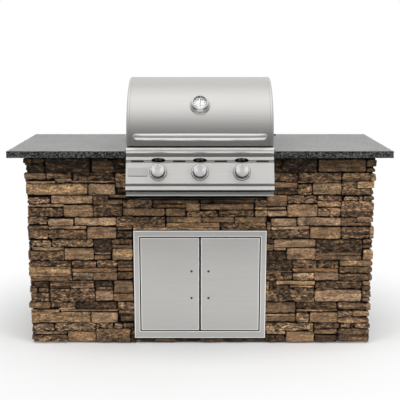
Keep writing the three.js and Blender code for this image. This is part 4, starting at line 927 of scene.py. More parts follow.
def turned_metal(name, tone, roughness, strength, metallic, painted_wedge):
    """Steel turned on a lathe: its gloss is drawn out across the ring marks, and two pale wedges are painted into
    its colour as a highlight.
    """
    made = Shader(name, Metallic=metallic, Anisotropic=strength)
    effect = made.group(BRUSHING, {"Stretch": (60, 60, 60), "Cloud Size": 40.0})
    dark = (tone * 0.95, tone * 0.95, tone * 0.93, 1)
    light = (tone, tone, tone * 0.985, 1)
    colour = made.ramp(effect["Cloud"], [(0.3, dark), (0.7, light)])
    grain = made.node("ShaderNodeAttribute", attribute_name="grain").outputs["Vector"]
    upright = made.math("ABSOLUTE", made.node("ShaderNodeSeparateXYZ", {"Vector": grain}).outputs["Z"])
    # Painted highlight: the colour is paler where the ring marks run upright, in two wedges
    share = made.grey_ramp(upright, 0.55, 1, 1 - painted_wedge, 1)
    marks = made.node("ShaderNodeVectorTransform", {"Vector": grain}, vector_type="VECTOR",
                      convert_from="OBJECT", convert_to="WORLD").outputs[0]
    return made.set(
        Base_Color=made.mix(share, (0, 0, 0, 1), colour),
        Roughness=made.grey_ramp(effect["Scratch"], 0.3, 0.7, roughness * 0.9, roughness * 1.1),
        Tangent=marks)


def cast_brass():
    made = Shader("brass", Metallic=1.0)
    dull, bright = ((0.66 * share, 0.46 * share, 0.2 * share, 1) for share in (0.82, 1.12))
    effect = made.group(BRUSHING, {"Stretch": (160, 160, 160), "Cloud Size": 14.0})
    cloud = effect["Cloud"]
    return made.set(
        Base_Color=made.ramp(cloud, [(0.3, dull), (0.7, bright)]),
        Roughness=made.grey_ramp(cloud, 0.3, 0.7, 0.255, 0.36),
        Normal=made.bump(effect["Scratch"], 0.25, 0.5 * MM))


def sooty(name, bare, roughness, amount, metallic=0.0):
    """Enamel, iron or steel under soot. The amount is below zero: nearer to zero is sootier."""
    made = Shader(name, Metallic=metallic)
    effect = made.group(SOOT, {"Size": 16.0, "Amount": amount})
    return made.set(
        Base_Color=made.mix(effect["Soot"], bare, (0.012, 0.011, 0.010, 1)),
        Roughness=made.grey_ramp(effect["Soot"], 0, 1, roughness, 0.8),
        Normal=made.bump(effect["Crust"], 0.5, 1.5 * MM))


def cement_board():
    made = Shader("cement_board", Roughness=0.93)
    fibres = made.noise(made.place((30, 240, 240)), 1, 4, 0.6)
    blotch = made.patches((1, 1, 1), 9, 4, 0.5, 0.3, 0.7)
    colour = made.mix(blotch, (0.36, 0.355, 0.335, 1), (0.50, 0.49, 0.46, 1))
    streaks = made.ramp(fibres, [(0.35, (0.3, 0.29, 0.27, 1)), (0.65, (0.6, 0.59, 0.56, 1))])
    return made.set(Base_Color=made.mix(0.35, colour, streaks), Normal=made.bump(fibres, 0.4, 1 * MM))


def galvanised():
    made = Shader("galvanised_steel", Metallic=1.0)
    spangle = made.cells(95, "Green")
    return made.set(
        Base_Color=made.ramp(spangle, [(0, (0.42, 0.44, 0.45, 1)), (1, (0.66, 0.68, 0.69, 1))]),
        Roughness=made.grey_ramp(spangle, 0, 1, 0.32, 0.52),
        Normal=made.bump(spangle, 0.05, 0.3 * MM))


# Paint, plastic and glass
def painted(name, colour, roughness, variation=0.06):
    made = Shader(name)
    patch = made.noise(made.place(), 45, 4)
    low = tuple(value * (1 - variation) for value in colour) + (1,)
    high = tuple(min(1, value * (1 + variation)) for value in colour) + (1,)
    return made.set(
        Base_Color=made.ramp(patch, [(0.3, low), (0.7, high)]),
        Roughness=made.grey_ramp(patch, 0.3, 0.7, roughness * 0.85, roughness * 1.15),
        Normal=made.bump(made.noise(made.place(), 900, 2), 0.1, 0.2 * MM))


def lens_material():
    made = Shader("lens_glass", IOR=1.45, Transmission_Weight=1.0)
    haze = made.noise(made.place(), 60, 3)
    return made.set(Base_Color=made.ramp(haze, [(0, (0.97, 0.98, 0.98, 1)), (1, (1, 1, 1, 1))]),
                    Roughness=made.grey_ramp(haze, 0.4, 0.8, 0.0, 0.05))


BRUSHING, SOOT = brushing_group(), soot_group()
LEVEL = (4, 900, 900)   # scratches that run from side to side

# Each steel has the stretch of its scratches, its tone and its roughness, and then, where they
# aren't the usual ones, how metallic it is, how deep the scratches are and its warmth
LOOK = {name: brushed_steel(name, *numbers) for name, *numbers in (
    ("steel_lid", LEVEL, 0.8, 0.245),
    ("steel_end", (300, 4, 900), 0.86, 0.3),
    ("steel_satin", (7, 500, 500), 0.86, 0.3, 0.93, 0.06),
    ("steel_panel", LEVEL, 0.84, 0.34, 0.8, 0.04),
    # Recess and channel: darker steel as painted shade
    ("steel_recess", LEVEL, 0.47, 0.4, 0.8),
    ("steel_channel", LEVEL, 0.6, 0.4, 0.8),
    ("steel_plate", (900, 4, 900), 0.74, 0.34, 0.85),
    ("steel_tray", LEVEL, 0.36, 0.3, 0.9, 0.05),
    # Hem: paler steel as a painted highlight
    ("steel_hem", LEVEL, 0.8, 0.3, 0.85, 0.05),
    ("steel_brushed_upright", LEVEL, 0.57),
    # Edge: bright steel as a painted highlight
    ("steel_edge", (300, 300, 300), 0.95, 0.35, 0.4, 0.03, 0.99),
    # Gap: near-black steel as painted shade
    ("steel_gap", LEVEL, 0.06, 0.5, 0.8, 0.05),
)}
# Each turned steel has its tone, roughness, anisotropy, how metallic it is and the depth of its painted highlight
# wedges
LOOK.update({name: turned_metal(name, *numbers) for name, *numbers in (
    ("steel_turned", 0.98, 0.3, 0.6, 0.74, 0.3),
    ("steel_ring", 0.98, 0.26, 0.5, 0.7, 0.15),
    # Near-black steel as painted shade on the knobs' sides and the bezels' walls
    ("steel_turned_dark", 0.07, 0.3, 0.4, 1.0, 0),
    ("steel_polished", 0.9, 0.2, 0.4, 1.0, 0),
)})
LOOK.update({name: sooty(name, *numbers) for name, *numbers in (
    ("chamber_enamel", (0.05, 0.048, 0.045, 1), 0.45, -0.75),
    ("cast_iron", (0.06, 0.057, 0.053, 1), 0.5, -0.8),
    ("steel_burnt", (0.36, 0.30, 0.24, 1), 0.38, -0.9, 1.0),
)})
LOOK.update({name: painted(name, *numbers) for name, *numbers in (
    ("black_plastic", (0.022, 0.022, 0.023), 0.45),
    ("dial_ink", (0.24, 0.235, 0.23), 0.5),
    ("needle_grey", (0.07, 0.075, 0.085), 0.4),
    ("dial_white", (0.80, 0.79, 0.76), 0.35, 0.02),
    ("needle_red", (0.55, 0.03, 0.02), 0.35),
)})
LOOK.update(brass=cast_brass(), lens_glass=lens_material(), cement_board=cement_board(),
            galvanised_steel=galvanised())
BLACK = LOOK["black_plastic"]


# Lid: two quarter ellipses that meet at its top
LID_LOW, LID_HIGH = corners("lid_shell")
LID_FRONT_REACH = 300 * MM
LID_MIDDLE = LID_LOW.y + LID_FRONT_REACH
LID_REAR_REACH = 258 * MM
LID_BOTTOM = LID_LOW.z
LID_TOP = LID_HIGH.z
LID_REAR_BASE = 975 * MM
LID_REAR_END = 1008 * MM
LID_HALF = -corners("lid_end_left")[0].x
PIVOT = Vector(JOINTS["lid_hinge"]["pos_m"])


def lid_curve(inset, steps=48):
    points = []
    for k in range(steps + 1):
        turn = k * math.pi / 2 / steps
        points.append((LID_MIDDLE - (LID_FRONT_REACH - inset) * math.cos(turn),
                       LID_BOTTOM + (LID_TOP - LID_BOTTOM - inset) * math.sin(turn)))
    rear_height = LID_TOP - LID_REAR_BASE - inset
    end = math.asin((LID_REAR_END - LID_REAR_BASE) / rear_height)
    for k in range(1, steps + 1):
        turn = math.pi / 2 - k * (math.pi / 2 - end) / steps
        points.append((LID_MIDDLE + (LID_REAR_REACH - inset) * math.cos(turn),
                       LID_REAR_BASE + rear_height * math.sin(turn)))
    return points


def lid_surface_y(z):
    share = (z - LID_BOTTOM) / (LID_TOP - LID_BOTTOM)
    return LID_MIDDLE - LID_FRONT_REACH * math.sqrt(1 - share * share)


def lid_shell():
    """A rolled sheet with a folded hem along its front edge."""
    half = LID_HALF - 13.3 * MM
    sheet = 2 * MM
    outer = lid_curve(0)
    inner = lid_curve(sheet)
    inner.reverse()
    hem_depth, hem_rise = 9 * MM, 12 * MM
    y, z = inner[-1]
    back = y + hem_depth
    hem = [(y + sheet, z + sheet), (back - sheet, z + sheet), (back - sheet, z + hem_rise),
           (back, z + hem_rise), (back, z), (y + 0.5 * MM, z)]
    profile = outer + inner[:-3] + hem
    rings = [[(x, y, z) for y, z in profile] for x in (-half, half)]
    made = shaded(lofted("lid_skin", rings), 28)
    dress(made, "lid_shell", "stainless_steel", LOOK["steel_lid"], "lid")


def lid_end(side, name):
    """A cast end plate with a rounded shoulder, and an ear for the hinge rod."""
    width, shoulder, steps = 13 * MM, 6.5 * MM, 7
    swing, swing_steps = 30 * MM, 12
    inner = LID_HALF - width

    def ring(inset, x):
        line = lid_curve(inset)
        for k in range(swing_steps + 1):
            turn = (k + 0.5) * math.pi / 2 / swing_steps
            line.append((PIVOT.y + (swing - inset) * math.cos(turn),
                         PIVOT.z - (swing - inset) * math.sin(turn)))
        return [(side * x, y, max(z, LID_BOTTOM)) for y, z in line]

    rings = [ring(4 * MM, inner), ring(1 * MM, inner), ring(0, inner + 1 * MM)]
    for k in range(steps + 1):
        turn = k * math.pi / 2 / steps
        rings.append(ring(shoulder * (1 - math.cos(turn)), LID_HALF - shoulder + shoulder * math.sin(turn)))
    rings.append(ring(shoulder + 10 * MM, LID_HALF))
    rings.append(ring(shoulder + 11.5 * MM, LID_HALF - 1.5 * MM))
    made = shaded(lofted(name + "_casting", rings), 30)
    dress(made, name, "stainless_steel", LOOK["steel_end"], "lid")


def lid_stub():
    """The black cap that stands out of the lid's right end."""
    reach = (corners("lid_end_right")[1].x - LID_HALF) / MM
    profile = [(0, 0), (4, 0), (4, 6), (3, 6.4), (3, 7.6), (4, 8), (4, reach - 1.5), (3, reach - 0.3),
               (0, reach - 0.3)]
    place = (LID_HALF, COUNTER_FRONT + 60 * MM, 980 * MM)
    finish(lathed("lid_stub", profile, place, (1, 0, 0), 32), "black_plastic", BLACK, "lid")


def lid_handle():
    """An oval bar that bows out from the lid and closes to rounded tips."""
    low, high = corners("lid_handle")
    half = (high.x - low.x) / 2
    middle = (low.z + high.z) / 2
    tall, thick = (high.z - low.z) / 2, 12 * MM
    bow, end_share = 33 * MM, 0.88
    start = lid_surface_y(middle) - thick * end_share - 0.3 * MM
    rings = []
    steps, sides = 96, 40
    for k in range(steps + 1):
        slide = -math.cos(k * math.pi / steps)
        curve = math.sqrt(max(0, 1 - slide**8))
        tip = min(1, math.sqrt(max(0, 1 - abs(slide) ** 40)) + 0.02)
        swell = (end_share + (1 - end_share) * (1 - slide**2)) * tip
        y = start - (bow - thick * (1 - end_share)) * curve
        rings.append([(half * slide, y + thick * swell * cos, middle + tall * swell * sin)
                      for cos, sin in around(sides)])
    made = shaded(lofted("lid_handle_bar", rings), 40)
    dress(made, "lid_handle", "stainless_steel", LOOK["steel_satin"], "lid")


# Thermometer: cup, dial with marks and numbers, needle and glass. Its sizes are in millimetres
def thermometer():
    axis = Vector(JOINTS["needle_turn"]["axis"])
    foot = Vector(JOINTS["needle_turn"]["pos_m"]) + axis * 3.5 * MM
    pose = on_axis(foot, axis)
    top, outer, bore = 25, 36.5, 30
    face = top - 13.5
    print_face = face + 0.13
    sweep = 125

    case = [
        (44, -3.2), (45, -2), (45, 1.8), (43.6, 4.4), (41, 5.8), (39, 6.4), (37.6, 7.4), (outer, 9.4),
        (outer, top - 3.6), (outer - 0.5, top - 1.4), (outer - 1.6, top - 0.3), (outer - 3, top),
        (bore + 1, top - 0.3), (bore + 0.2, top - 0.8), (bore, top - 1.6), (bore, face),
        (bore - 0.4, face - 0.6), (4, face - 0.6), (4, -3.2), (44, -3.2),
    ]
    made = lathed("thermometer_cup", case, foot, axis)
    dress(made, "thermometer_case", "stainless_steel", LOOK["steel_polished"], "lid")
    plate = [(0, face - 0.4), (29.6, face - 0.4), (29.6, face), (29.2, face + 0.12), (0, face + 0.12)]
    finish(lathed("thermometer_dial", plate, foot, axis), "stainless_steel", LOOK["dial_white"], "lid")
    # Painted shade: a black lining on the cup's inner wall, above the dial
    collar = [(29.9, face + 0.2), (29.9, top - 1.9), (28.6, top - 1.9), (28.3, top - 2.6), (29, face + 0.2),
              (29.9, face + 0.2)]
    finish(lathed("thermometer_seal", collar, foot, axis), "black_plastic", BLACK, "lid")

    mark_size = (0.45 * MM, 2 * MM, 0.1 * MM)
    marks = marks_round("dial_marks", 26, 26 * MM, -sweep, sweep, mark_size, 5, LOOK["dial_ink"])
    marks.data.transform(pose @ Matrix.Translation((0, 0, print_face * MM)))
    parts = [marks]
    for k in range(6):
        turn = math.radians(2 * sweep * k / 5 - sweep)
        text = bpy.data.curves.new("number", "FONT")
        text.body = str(100 + 100 * k)
        text.size = 4.6 * MM
        text.extrude = 0.04 * MM
        text.align_x = text.align_y = "CENTER"
        lettering = add_object("dial_lettering", text)
        number = add_object("dial_number", evaluated_mesh(lettering))
        bpy.data.objects.remove(lettering)
        where = Vector((20.4 * math.sin(turn), 20.4 * math.cos(turn), print_face + 0.04)) * MM
        number.data.transform(pose @ Matrix.Translation(where))
        parts.append(number)
    finish(joined("dial_print", parts), "black_plastic", LOOK["dial_ink"], "lid")

    level, neck = face + 1.5, 13.9
    blades = []
    for outline in ([(-0.9, -6), (0.9, -6), (1.25, -5), (1.2, 13.8), (-1.2, 13.8), (-1.25, -5)],
                    [(-1.45, 14), (1.45, 14), (1.45, 21), (0.5, 24), (-0.5, 24), (-1.45, 21)]):
        blade = prism("needle_blade", outline, (level, level + 0.7))
        blade.data.transform(pose @ Matrix.Rotation(math.radians(-15), 4, "Z"))
        blades.append(rounded(blade, 0.15 * MM, 2))
    hub_profile = [(0, face + 0.3), (3, face + 0.3), (3, level + 1), (2.2, level + 1.7), (0, level + 1.9)]
    hub = lathed("needle_hub", hub_profile, foot, axis, 32)
    pointer = joined("needle_pointer", blades + [hub])
    dress(pointer, "thermometer_needle", "needle_paint", LOOK["needle_red"], "needle")
    flat = pose.inverted()
    parted(pointer, [LOOK["needle_grey"]], lambda middle: (flat @ middle).xy.length <= neck * MM)

    disc = [(0, top - 1.5), (29.7, top - 1.5), (29.7, top - 0.9), (28, top - 0.6), (14, top - 0.2),
            (0, top - 0.1)]
    lens = lathed("thermometer_glass", disc, foot, axis)
    dress(lens, "thermometer_lens", "lens_glass", LOOK["lens_glass"], "lid")


# Knobs and their bezels, with profiles in millimetres
def knob(name):
    """A turned knob with tapered sides, a slightly hollow face, a pointer notch and a dark foot; its sides below
    the rim are near-black steel as painted shade.
    """
    turn = JOINTS[name + "_turn"]
    foot, axis = Vector(turn["pos_m"]), Vector(turn["axis"])
    pose = on_axis(foot, axis)
    lift, bore = 3.6, 4.3
    top = lift + 30
    cup = [(bore, lift), (25.5, lift), (27.6, lift + 0.4), (28.6, lift + 1.4), (28.6, lift + 5.4),
           (bore, lift + 5.4), (bore, lift)]
    finish(lathed(name + "_foot", cup, foot, axis), "black_plastic", BLACK, name)
    shell = [(bore, lift + 5.6), (28.8, lift + 5.6), (29.5, lift + 6.4), (29.4, lift + 8), (28.9, lift + 13),
             (28.2, lift + 23), (27.9, top - 2.6), (27.3, top - 1.2), (26.2, top - 0.3), (24.8, top),
             (12, top - 0.5), (0, top - 0.8), (0, lift + 20), (bore, lift + 20), (bore, lift + 5.6)]
    body = lathed(name + "_shell", shell, foot, axis)
    slit = [(-0.9, 17.5), (0.9, 17.5), (0.9, 25.6), (-0.9, 25.6)]
    mark = prism(name + "_mark", slit, (top - 0.45, top + 0.02))
    mark.data.transform(pose)
    finish(mark, "black_plastic", BLACK, name)
    dress(body, name, "stainless_steel", LOOK["steel_turned"], name)
    flat = pose.inverted()
    # Painted shade: the sides below the rim take near-black steel
    parted(body, [LOOK["steel_turned_dark"]], lambda middle: (flat @ middle).z < (top - 2) * MM)


def bezel(name):
    """A ring round the knob, bright on its rolled face alone; its other faces take near-black steel as painted
    shade.
    """
    turn = JOINTS[name + "_turn"]
    foot = Vector(turn["pos_m"])
    profile = [(30.6, 0.3), (38, 0.3), (38, 1.5), (37.4, 2.8), (36.2, 3.8), (34.6, 4.6), (33, 5), (31.6, 4.9),
               (30.8, 4.4), (30.6, 3.6), (30.6, 0.3)]
    made = lathed(name.replace("_knob", "_bezel_ring"), profile, foot, turn["axis"])
    dress(made, name + "_bezel", "stainless_steel", LOOK["steel_ring"])
    flat = on_axis(foot, turn["axis"]).inverted()

    def plain(middle):
        place = flat @ middle
        return not (31 * MM < place.xy.length < 36 * MM and place.z > 1 * MM)

    # Painted shade: every face but the rolled one takes near-black steel
    parted(made, [LOOK["steel_turned_dark"]], plain)


# What lies under the lid
def cooking_grate(name):
    """Rounded bars between two rails."""
    iron = LOOK["cast_iron"]
    low, high = corners(name)
    depth, border, pitch = 8 * MM, 12 * MM, 24.2 * MM
    tall = high.z - low.z
    middle = (low.z + high.z) / 2
    front, back = low.y + 2 * MM, high.y - 2 * MM
    parts = []
    for y in (low.y + border / 2, high.y - border / 2):
        parts.append(bar("rail", (low.x, y, middle), (high.x, y, middle), border / 2, 12, tall / 2))
    count = int((high.x - low.x - depth) / pitch) + 1
    first = low.x + depth / 2
    single = bar("grate_bar", (0, front, 0), (0, back, 0), depth / 2, 10, tall / 2 - 0.1 * MM)
    parts.append(row_of(name + "_bars", count, (pitch, 0, 0), (first, 0, middle), single, iron))
    if high.x - (first + (count - 1) * pitch) > depth:
        x = high.x - depth / 2
        parts.append(bar("side", (x, front, middle), (x, back, middle), depth / 2, 10, tall / 2))
    dress(joined(name + "_casting", parts), name, "cast_iron", iron)


def warming_rack():
    steel = LOOK["steel_satin"]
    low, high = corners("warming_rack")
    wire, thin = 2.5 * MM, 1.3 * MM
    z = high.z - wire
    left, right = low.x + wire, high.x - wire
    front, back = low.y + wire, high.y - wire
    parts = []
    for x in (left, right):
        for y in (front, back):
            parts.append(bar("leg", (x, y, low.z), (x, y, z + wire * 0.6), wire, 12))
        parts.append(bar("side_wire", (x, front - wire, z), (x, back + wire, z), wire, 12))
    across = bar("long_wire", (left - wire, 0, 0), (right + wire, 0, 0), wire * 0.98, 12)
    parts.append(row_of("rack_long_wires", 5, (0, (back - front) / 4, 0), (0, front, z), across, steel))
    single = bar("thin_wire", (0, front, 0), (0, back, 0), thin, 8)
    count = 31
    step = (right - left) / (count + 1)
    start = (left + step, 0, z - 0.8 * MM)
    parts.append(row_of("rack_thin_wires", count, (step, 0, 0), start, single, steel))
    dress(joined("warming_rack_wires", parts), "warming_rack", "stainless_steel", steel)


def burner(name):
    """A cast tube with two collars, and a row of ports on each side of its crown."""
    low, high = corners(name)
    radius = (high.x - low.x) / 2 / MM
    neck = radius * 0.94
    length = (high.y - low.y) / MM
    x, z = (low.x + high.x) / 2, (low.z + high.z) / 2
    profile = [(0, 0), (radius * 0.7, 0), (neck, 0.8), (neck, 16), (radius, 18), (radius, 24), (neck, 26),
               (neck, length - 12), (radius, length - 10), (radius, length - 1), (radius * 0.9, length),
               (0, length)]
    tube = lathed(name + "_tube", profile, (x, low.y, z), (0, 1, 0), 48)
    dress(tube, name, "cast_iron", LOOK["cast_iron"])
    turn = math.radians(38)
    seat = radius * 0.93 * MM
    rim = [(0, 0.35), (1.3, 0.35), (1.5, 0), (1.3, -0.4), (0, -0.4)]
    for side, row_name in ((-1, "left"), (1, "right")):
        spot = (x + side * seat * math.sin(turn), low.y + 70 * MM, z + seat * math.cos(turn))
        port = lathed("port", rim, (0, 0, 0), (side * math.sin(turn), 0, math.cos(turn)), 12)
        row = row_of(f"{name}_ports_{row_name}", 32, (0, 11.5 * MM, 0), spot, port, BLACK)
        finish(row, "cast_iron", BLACK)


def firebox():
    """The grill's body: bright outside and on its rim, sooty inside, and dark low down as painted shade."""
    made = softened("firebox", "firebox_body", 0.9 * MM, 2)
    inside_x = 297.5 * MM
    front, back = COUNTER_FRONT - 27.5 * MM, COUNTER_FRONT + 502.5 * MM
    painted_shade_top, rim = 880 * MM, 938 * MM
    dress(made, "firebox", "dark_steel", LOOK["steel_brushed_upright"])

    # Painted shade: below its height the outside takes the dark enamel as well
    def dark(middle):
        x, y, z = middle
        return z < painted_shade_top or (abs(x) < inside_x and front < y < back and z < rim)

    parted(made, [LOOK["chamber_enamel"]], dark)


# The control panel slopes: its front leans back towards the top
SLOPE = math.radians(24.3)
PANEL_TOP = 902 * MM
PANEL_SETBACK = 59 * MM


def panel_front(z):
    """The y of the panel's sloping front at a height."""
    return COUNTER_FRONT - PANEL_SETBACK - (PANEL_TOP - z) * math.tan(SLOPE)


def oval_fittings():
    """Valve nuts and igniter tubes, seen through the oval openings above the knobs."""
    level = 886 * MM
    length = 16
    for name in ("left", "middle", "right"):
        x = JOINTS[name + "_knob_turn"]["pos_m"][0]
        depth = panel_front(level) + 10 * MM
        for part, offset, radius, sides, ahead, material, slot in (
            ("nut", 9, 6.6, 6, 0, "brass", "brass"),
            ("stem", 9, 3.4, 24, -2.5, "brass", "brass"),
            ("tube", -8, 8, 32, 1, "steel_burnt", "stainless_steel"),
            ("collar", -8, 9.4, 32, 3, "steel_burnt", "stainless_steel"),
        ):
            profile = [(0, 0), (radius, 0), (radius, length - 1), (radius - 0.8, length), (0, length)]
            place = (x + offset * MM, depth + (ahead + length) * MM, level)
            made = lathed(name + "_valve_" + part, profile, place, (0, -1, 0), sides)
            finish(made, slot, LOOK[material])


def block(name, low, high, pose):
    """A plain black box of the island, with its edges eased."""
    rings = [[(low[0], low[1], z), (high[0], low[1], z), (high[0], high[1], z), (low[0], high[1], z)]
             for z in (low[2], high[2])]
    made = rounded(lofted(name, rings), 0.2 * MM, 2)
    made.data.transform(pose)
    finish(made, "black_plastic", BLACK)


def panel_details():
    """A black strip as painted shade above the tray, and a black block under the name plate whose edge shows as a
    painted shadow.
    """
    foot = corners("control_panel")[0].z
    front = panel_front(foot)
    half = 312 * MM
    block("panel_guard", (-half, front + 14 * MM, foot - 6 * MM), (half, front + 15.5 * MM, foot - 0.1 * MM),
          Matrix.Identity(4))
    knob_turn = JOINTS["middle_knob_turn"]
    low, high = corners("name_plate")
    block("name_plate_pad", (low.x + 1 * MM, -20 * MM, 0.05 * MM), (high.x - 1 * MM, -16 * MM, 1.4 * MM),
          on_axis(Vector(knob_turn["pos_m"]), knob_turn["axis"]))


# Lines along the edges of the doors: a dark gap as painted shade, a bright bend as painted highlight, and the rim
# of the frame, also a painted highlight
EDGE_SHADE, EDGE_SHINE, RIM = 1.9 * MM, 4.6 * MM, 3.4 * MM
MEETING = 2 * EDGE_SHADE + MM


def door_finish(made, node):
    """Painted highlights along the bends round the door sheets, and painted shade in the gaps between them."""
    low, high = corners(node)
    is_frame = node == "door_frame"
    inner = [(low.x, high.x), (low.z, high.z)]
    if is_frame:
        gap = 2.4 * MM
        first, last = corners("left_door")[0], corners("right_door")[1]
        inner = [(first.x - gap, last.x + gap), (first.z - gap, last.z + gap)]
    way = -1 if is_frame else 1
    cuts = []
    for axis, (start, end) in zip((0, 2), inner):
        for width in (EDGE_SHADE, EDGE_SHINE):
            cuts += [(axis, start + way * width), (axis, end - way * width)]
    if is_frame:
        cuts += [(0, low.x + RIM), (0, high.x - RIM), (2, low.z + RIM), (2, high.z - RIM)]
    else:
        cuts += [(0, -MEETING), (0, MEETING)]
    split_at(made, cuts)

    # Painted shade on the gaps, where the doors meet and on every face behind the front; painted highlight on the
    # bends and the frame's rim
    def line(middle):
        inside = min(min(place - start, end - place) for place, (start, end)
                     in zip((middle.x, middle.z), inner))
        rim = min(middle.x - low.x, high.x - middle.x, middle.z - low.z, high.z - middle.z)
        away = way * inside
        if middle.y > low.y + 2 * MM or away < EDGE_SHADE or (not is_frame and abs(middle.x) < MEETING):
            return 2
        return away < EDGE_SHINE or (is_frame and rim < RIM)

    parted(made, [LOOK["steel_edge"], LOOK["steel_gap"]], line)


def tray_finish(made):
    """A painted highlight: paler steel along the lower edge of the tray's front, as a bright hem."""
    low = corners("drip_tray")[0]
    hem_top, hem_back = low.z + 6 * MM, low.y + 4 * MM
    split_at(made, [(2, hem_top)])
    parted(made, [LOOK["steel_hem"]], lambda middle: middle.y < hem_back and middle.z < hem_top)


def panel_finish(made):
    """Darker steel as painted shade in the recess of the panel, and across it a channel, paler than the recess,
    also darkened as painted shade.
    """
    recess_half, recess_depth = 316 * MM, 1.8 * MM
    recess_low, recess_high = 766 * MM, 915 * MM
    channel_low, channel_high = 872 * MM, 888 * MM

    def band(middle):
        behind = (middle.y - panel_front(middle.z)) * math.cos(SLOPE)
        in_recess = behind > recess_depth and abs(middle.x) < recess_half
        if not (in_recess and recess_low < middle.z < recess_high):
            return 0
        return 2 if channel_low < middle.z < channel_high else 1

    parted(made, [LOOK["steel_recess"], LOOK["steel_channel"]], band)


def steel_parts():
    """Sheet pieces that keep the CAD shape, with rounded bends and then further finishes."""
    for node, edge, steps, body, material in (
        ("control_panel", 1.6 * MM, 3, "island", "steel_panel"),
        ("name_plate", 0.7 * MM, 2, "island", "steel_plate"),
        ("door_frame", 2 * MM, 3, "island", "steel_brushed_upright"),
        ("left_door", 2.6 * MM, 4, "left_door", "steel_brushed_upright"),
        ("right_door", 2.6 * MM, 4, "right_door", "steel_brushed_upright"),
        ("drip_tray", 1.2 * MM, 3, "drip_tray", "steel_tray"),
    ):
        made = softened(node, node + "_sheet", edge, steps)
        dress(made, node, "stainless_steel", LOOK[material], body)
        if "door" in node:
            door_finish(made, node)
        elif node == "control_panel":
            panel_finish(made)
        elif node == "drip_tray":
            tray_finish(made)


def hole_plugs():
    """Rubber plugs in the screw holes of the doors."""
    profile = [(0, 0), (2.5, 0), (2.5, 3), (5.6, 3), (5.3, 3.6), (0, 3.9)]
    for side, node in ((-1, "left_door"), (1, "right_door")):
        front = corners(node)[0].y
        for number, level in (("low", 221 * MM), ("high", 349 * MM)):
            place = (side * 39 * MM, front + 3.2 * MM, level)
            made = lathed(f"{node}_plug_{number}", profile, place, (0, -1, 0), 24)
            finish(made, "black_plastic", BLACK, node)


def plain_nodes(materials):
    """Nodes whose shape is right keep it, and take their finish."""
    for row in frame["record"]["subparts"]:
        node = NODES[row["node"]]
        if not node.hide_render:
            # Painted shade: the grill shelf, seen in the dark recess under the grill, takes black
            slot = "black_plastic" if row["node"] == "grill_shelf" else row["material_slot"]
            node.data.materials.clear()
            node.data.materials.append(materials[slot])


# Room: a round pale floor in a white studio, darker on the camera's side for gloss
def make_world():
    world = bpy.data.worlds.new("studio")
    bpy.context.scene.world = world
    world.use_nodes = True
    world.node_tree.nodes.clear()
    node = NodeTree(world.node_tree).node
    path = node("ShaderNodeLightPath")
    ways = node("ShaderNodeSeparateXYZ", {0: node("ShaderNodeTexCoord").outputs["Generated"]})
    rise = node("ShaderNodeMapRange", {"Value": ways.outputs["Z"], "From Min": -1, "From Max": 1})
    near = node("ShaderNodeValToRGB", {"Fac": rise.outputs[0]})
    stops = near.color_ramp.elements
    stops[0].position, stops[0].color = 0, grey(0.42)
    stops[1].position, stops[1].color = 1, grey(0.95)
    for height, level in ((0.35, 0.15), (0.5, 0.15), (0.62, 0.2), (0.715, 0.3), (0.8, 0.44), (0.88, 0.64),
                          (0.94, 0.82)):
        stops.new(height).color = grey(level)
    behind = node("ShaderNodeMapRange", {"Value": ways.outputs["Y"], "From Min": 0.05, "From Max": 0.75})
    studio = node("ShaderNodeMix", {
        0: behind.outputs[0], 6: near.outputs["Color"], 7: grey(0.69)}, data_type="RGBA")
    soft = node("ShaderNodeBackground", {"Color": grey(1), "Strength": 0.38})
    gloss = node("ShaderNodeBackground", {"Color": studio.outputs[2], "Strength": 1.05})
    white = node("ShaderNodeBackground", {"Color": grey(1), "Strength": 1})
    mirrored = node("ShaderNodeMath", {
        0: path.outputs["Is Glossy Ray"], 1: path.outputs["Is Transmission Ray"]}, operation="MAXIMUM")
    lit = node("ShaderNodeMixShader", {0: mirrored.outputs[0], 1: soft.outputs[0], 2: gloss.outputs[0]})
    seen = node("ShaderNodeMixShader", {
        0: path.outputs["Is Camera Ray"], 1: lit.outputs[0], 2: white.outputs[0]})
    node("ShaderNodeOutputWorld", {"Surface": seen.outputs[0]})


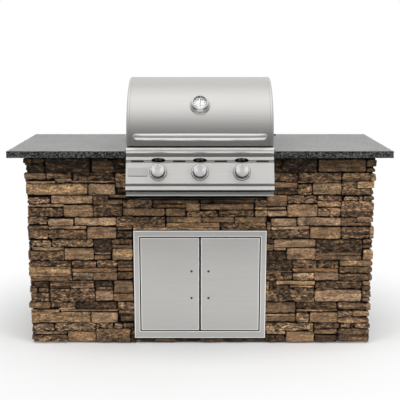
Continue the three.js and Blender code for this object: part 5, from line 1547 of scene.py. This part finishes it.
def make_floor():
    reach, sides = 2.9, 96
    rim = [(reach * cos, reach * sin, 0) for cos, sin in around(sides)]
    floor = add_object("floor", mesh_from("floor", rim, [range(sides)]))
    made = Shader("pale_floor", Roughness=0.9)
    made.set(Base_Color=made.mix(made.noise(made.place(), 3, 2), grey(0.75), grey(0.78)))
    away = made.node("ShaderNodeVectorMath", {0: made.place()}, operation="LENGTH").outputs["Value"]
    fade = made.node("ShaderNodeMapRange", {"Value": away, "From Min": 0.42, "From Max": 1.6},
                     interpolation_type="SMOOTHSTEP").outputs[0]
    path = made.node("ShaderNodeLightPath").outputs
    seen = made.math("MAXIMUM", path["Is Camera Ray"],
                     made.math("MAXIMUM", path["Is Glossy Ray"], path["Is Transmission Ray"]))
    white = made.node("ShaderNodeEmission", {"Color": grey(1), "Strength": 1})
    mixed = made.node("ShaderNodeMixShader", {
        0: made.math("MULTIPLY", fade, seen), 1: made.bsdf.outputs[0], 2: white.outputs[0]})
    made.feed(made.tree.nodes["Material Output"].inputs["Surface"], mixed.outputs[0])
    floor.data.materials.append(made.material)


def make_lamps():
    for name, place, target, width, height, watts in (
        ("overhead", (0, -0.9, 3.4), (0, 0, 0.8), 3.2, 1.8, 84),
        ("left_front", (-2.6, -2.8, 2.6), (0, 0, 0.6), 1.6, 1.6, 38),
        ("right_front", (2.8, -2.6, 2.2), (0, 0, 0.5), 1.6, 1.6, 64),
    ):
        data = bpy.data.lights.new(name, "AREA")
        data.shape = "RECTANGLE"
        data.size, data.size_y = width, height
        data.energy = watts
        made = bpy.data.objects.new(name, data)
        made.location = place
        made.rotation_euler = (Vector(target) - Vector(place)).to_track_quat("-Z", "Y").to_euler()
        made.visible_glossy = False
        bpy.context.collection.objects.link(made)


bpy.context.scene.view_settings.view_transform = "Standard"
make_camera()
make_world()
make_floor()
make_lamps()
stone_walls(stone_material())
granite_top(*granite_materials())
lid_shell()
lid_end(-1, "lid_end_left")
lid_end(1, "lid_end_right")
lid_stub()
lid_handle()
thermometer()
steel_parts()
hole_plugs()
panel_details()
oval_fittings()
for name in ("left", "middle", "right"):
    knob(name + "_knob")
    bezel(name + "_knob")
    burner(name + "_burner")
    if name != "middle":
        cooking_grate(name + "_cooking_grate")
warming_rack()
firebox()
plain_nodes({
    "cement_board": LOOK["cement_board"], "galvanised_steel": LOOK["galvanised_steel"],
    "stainless_steel": LOOK["steel_burnt"], "dark_steel": LOOK["chamber_enamel"],
    "cast_iron": LOOK["cast_iron"], "brass": LOOK["brass"], "black_plastic": BLACK,
})
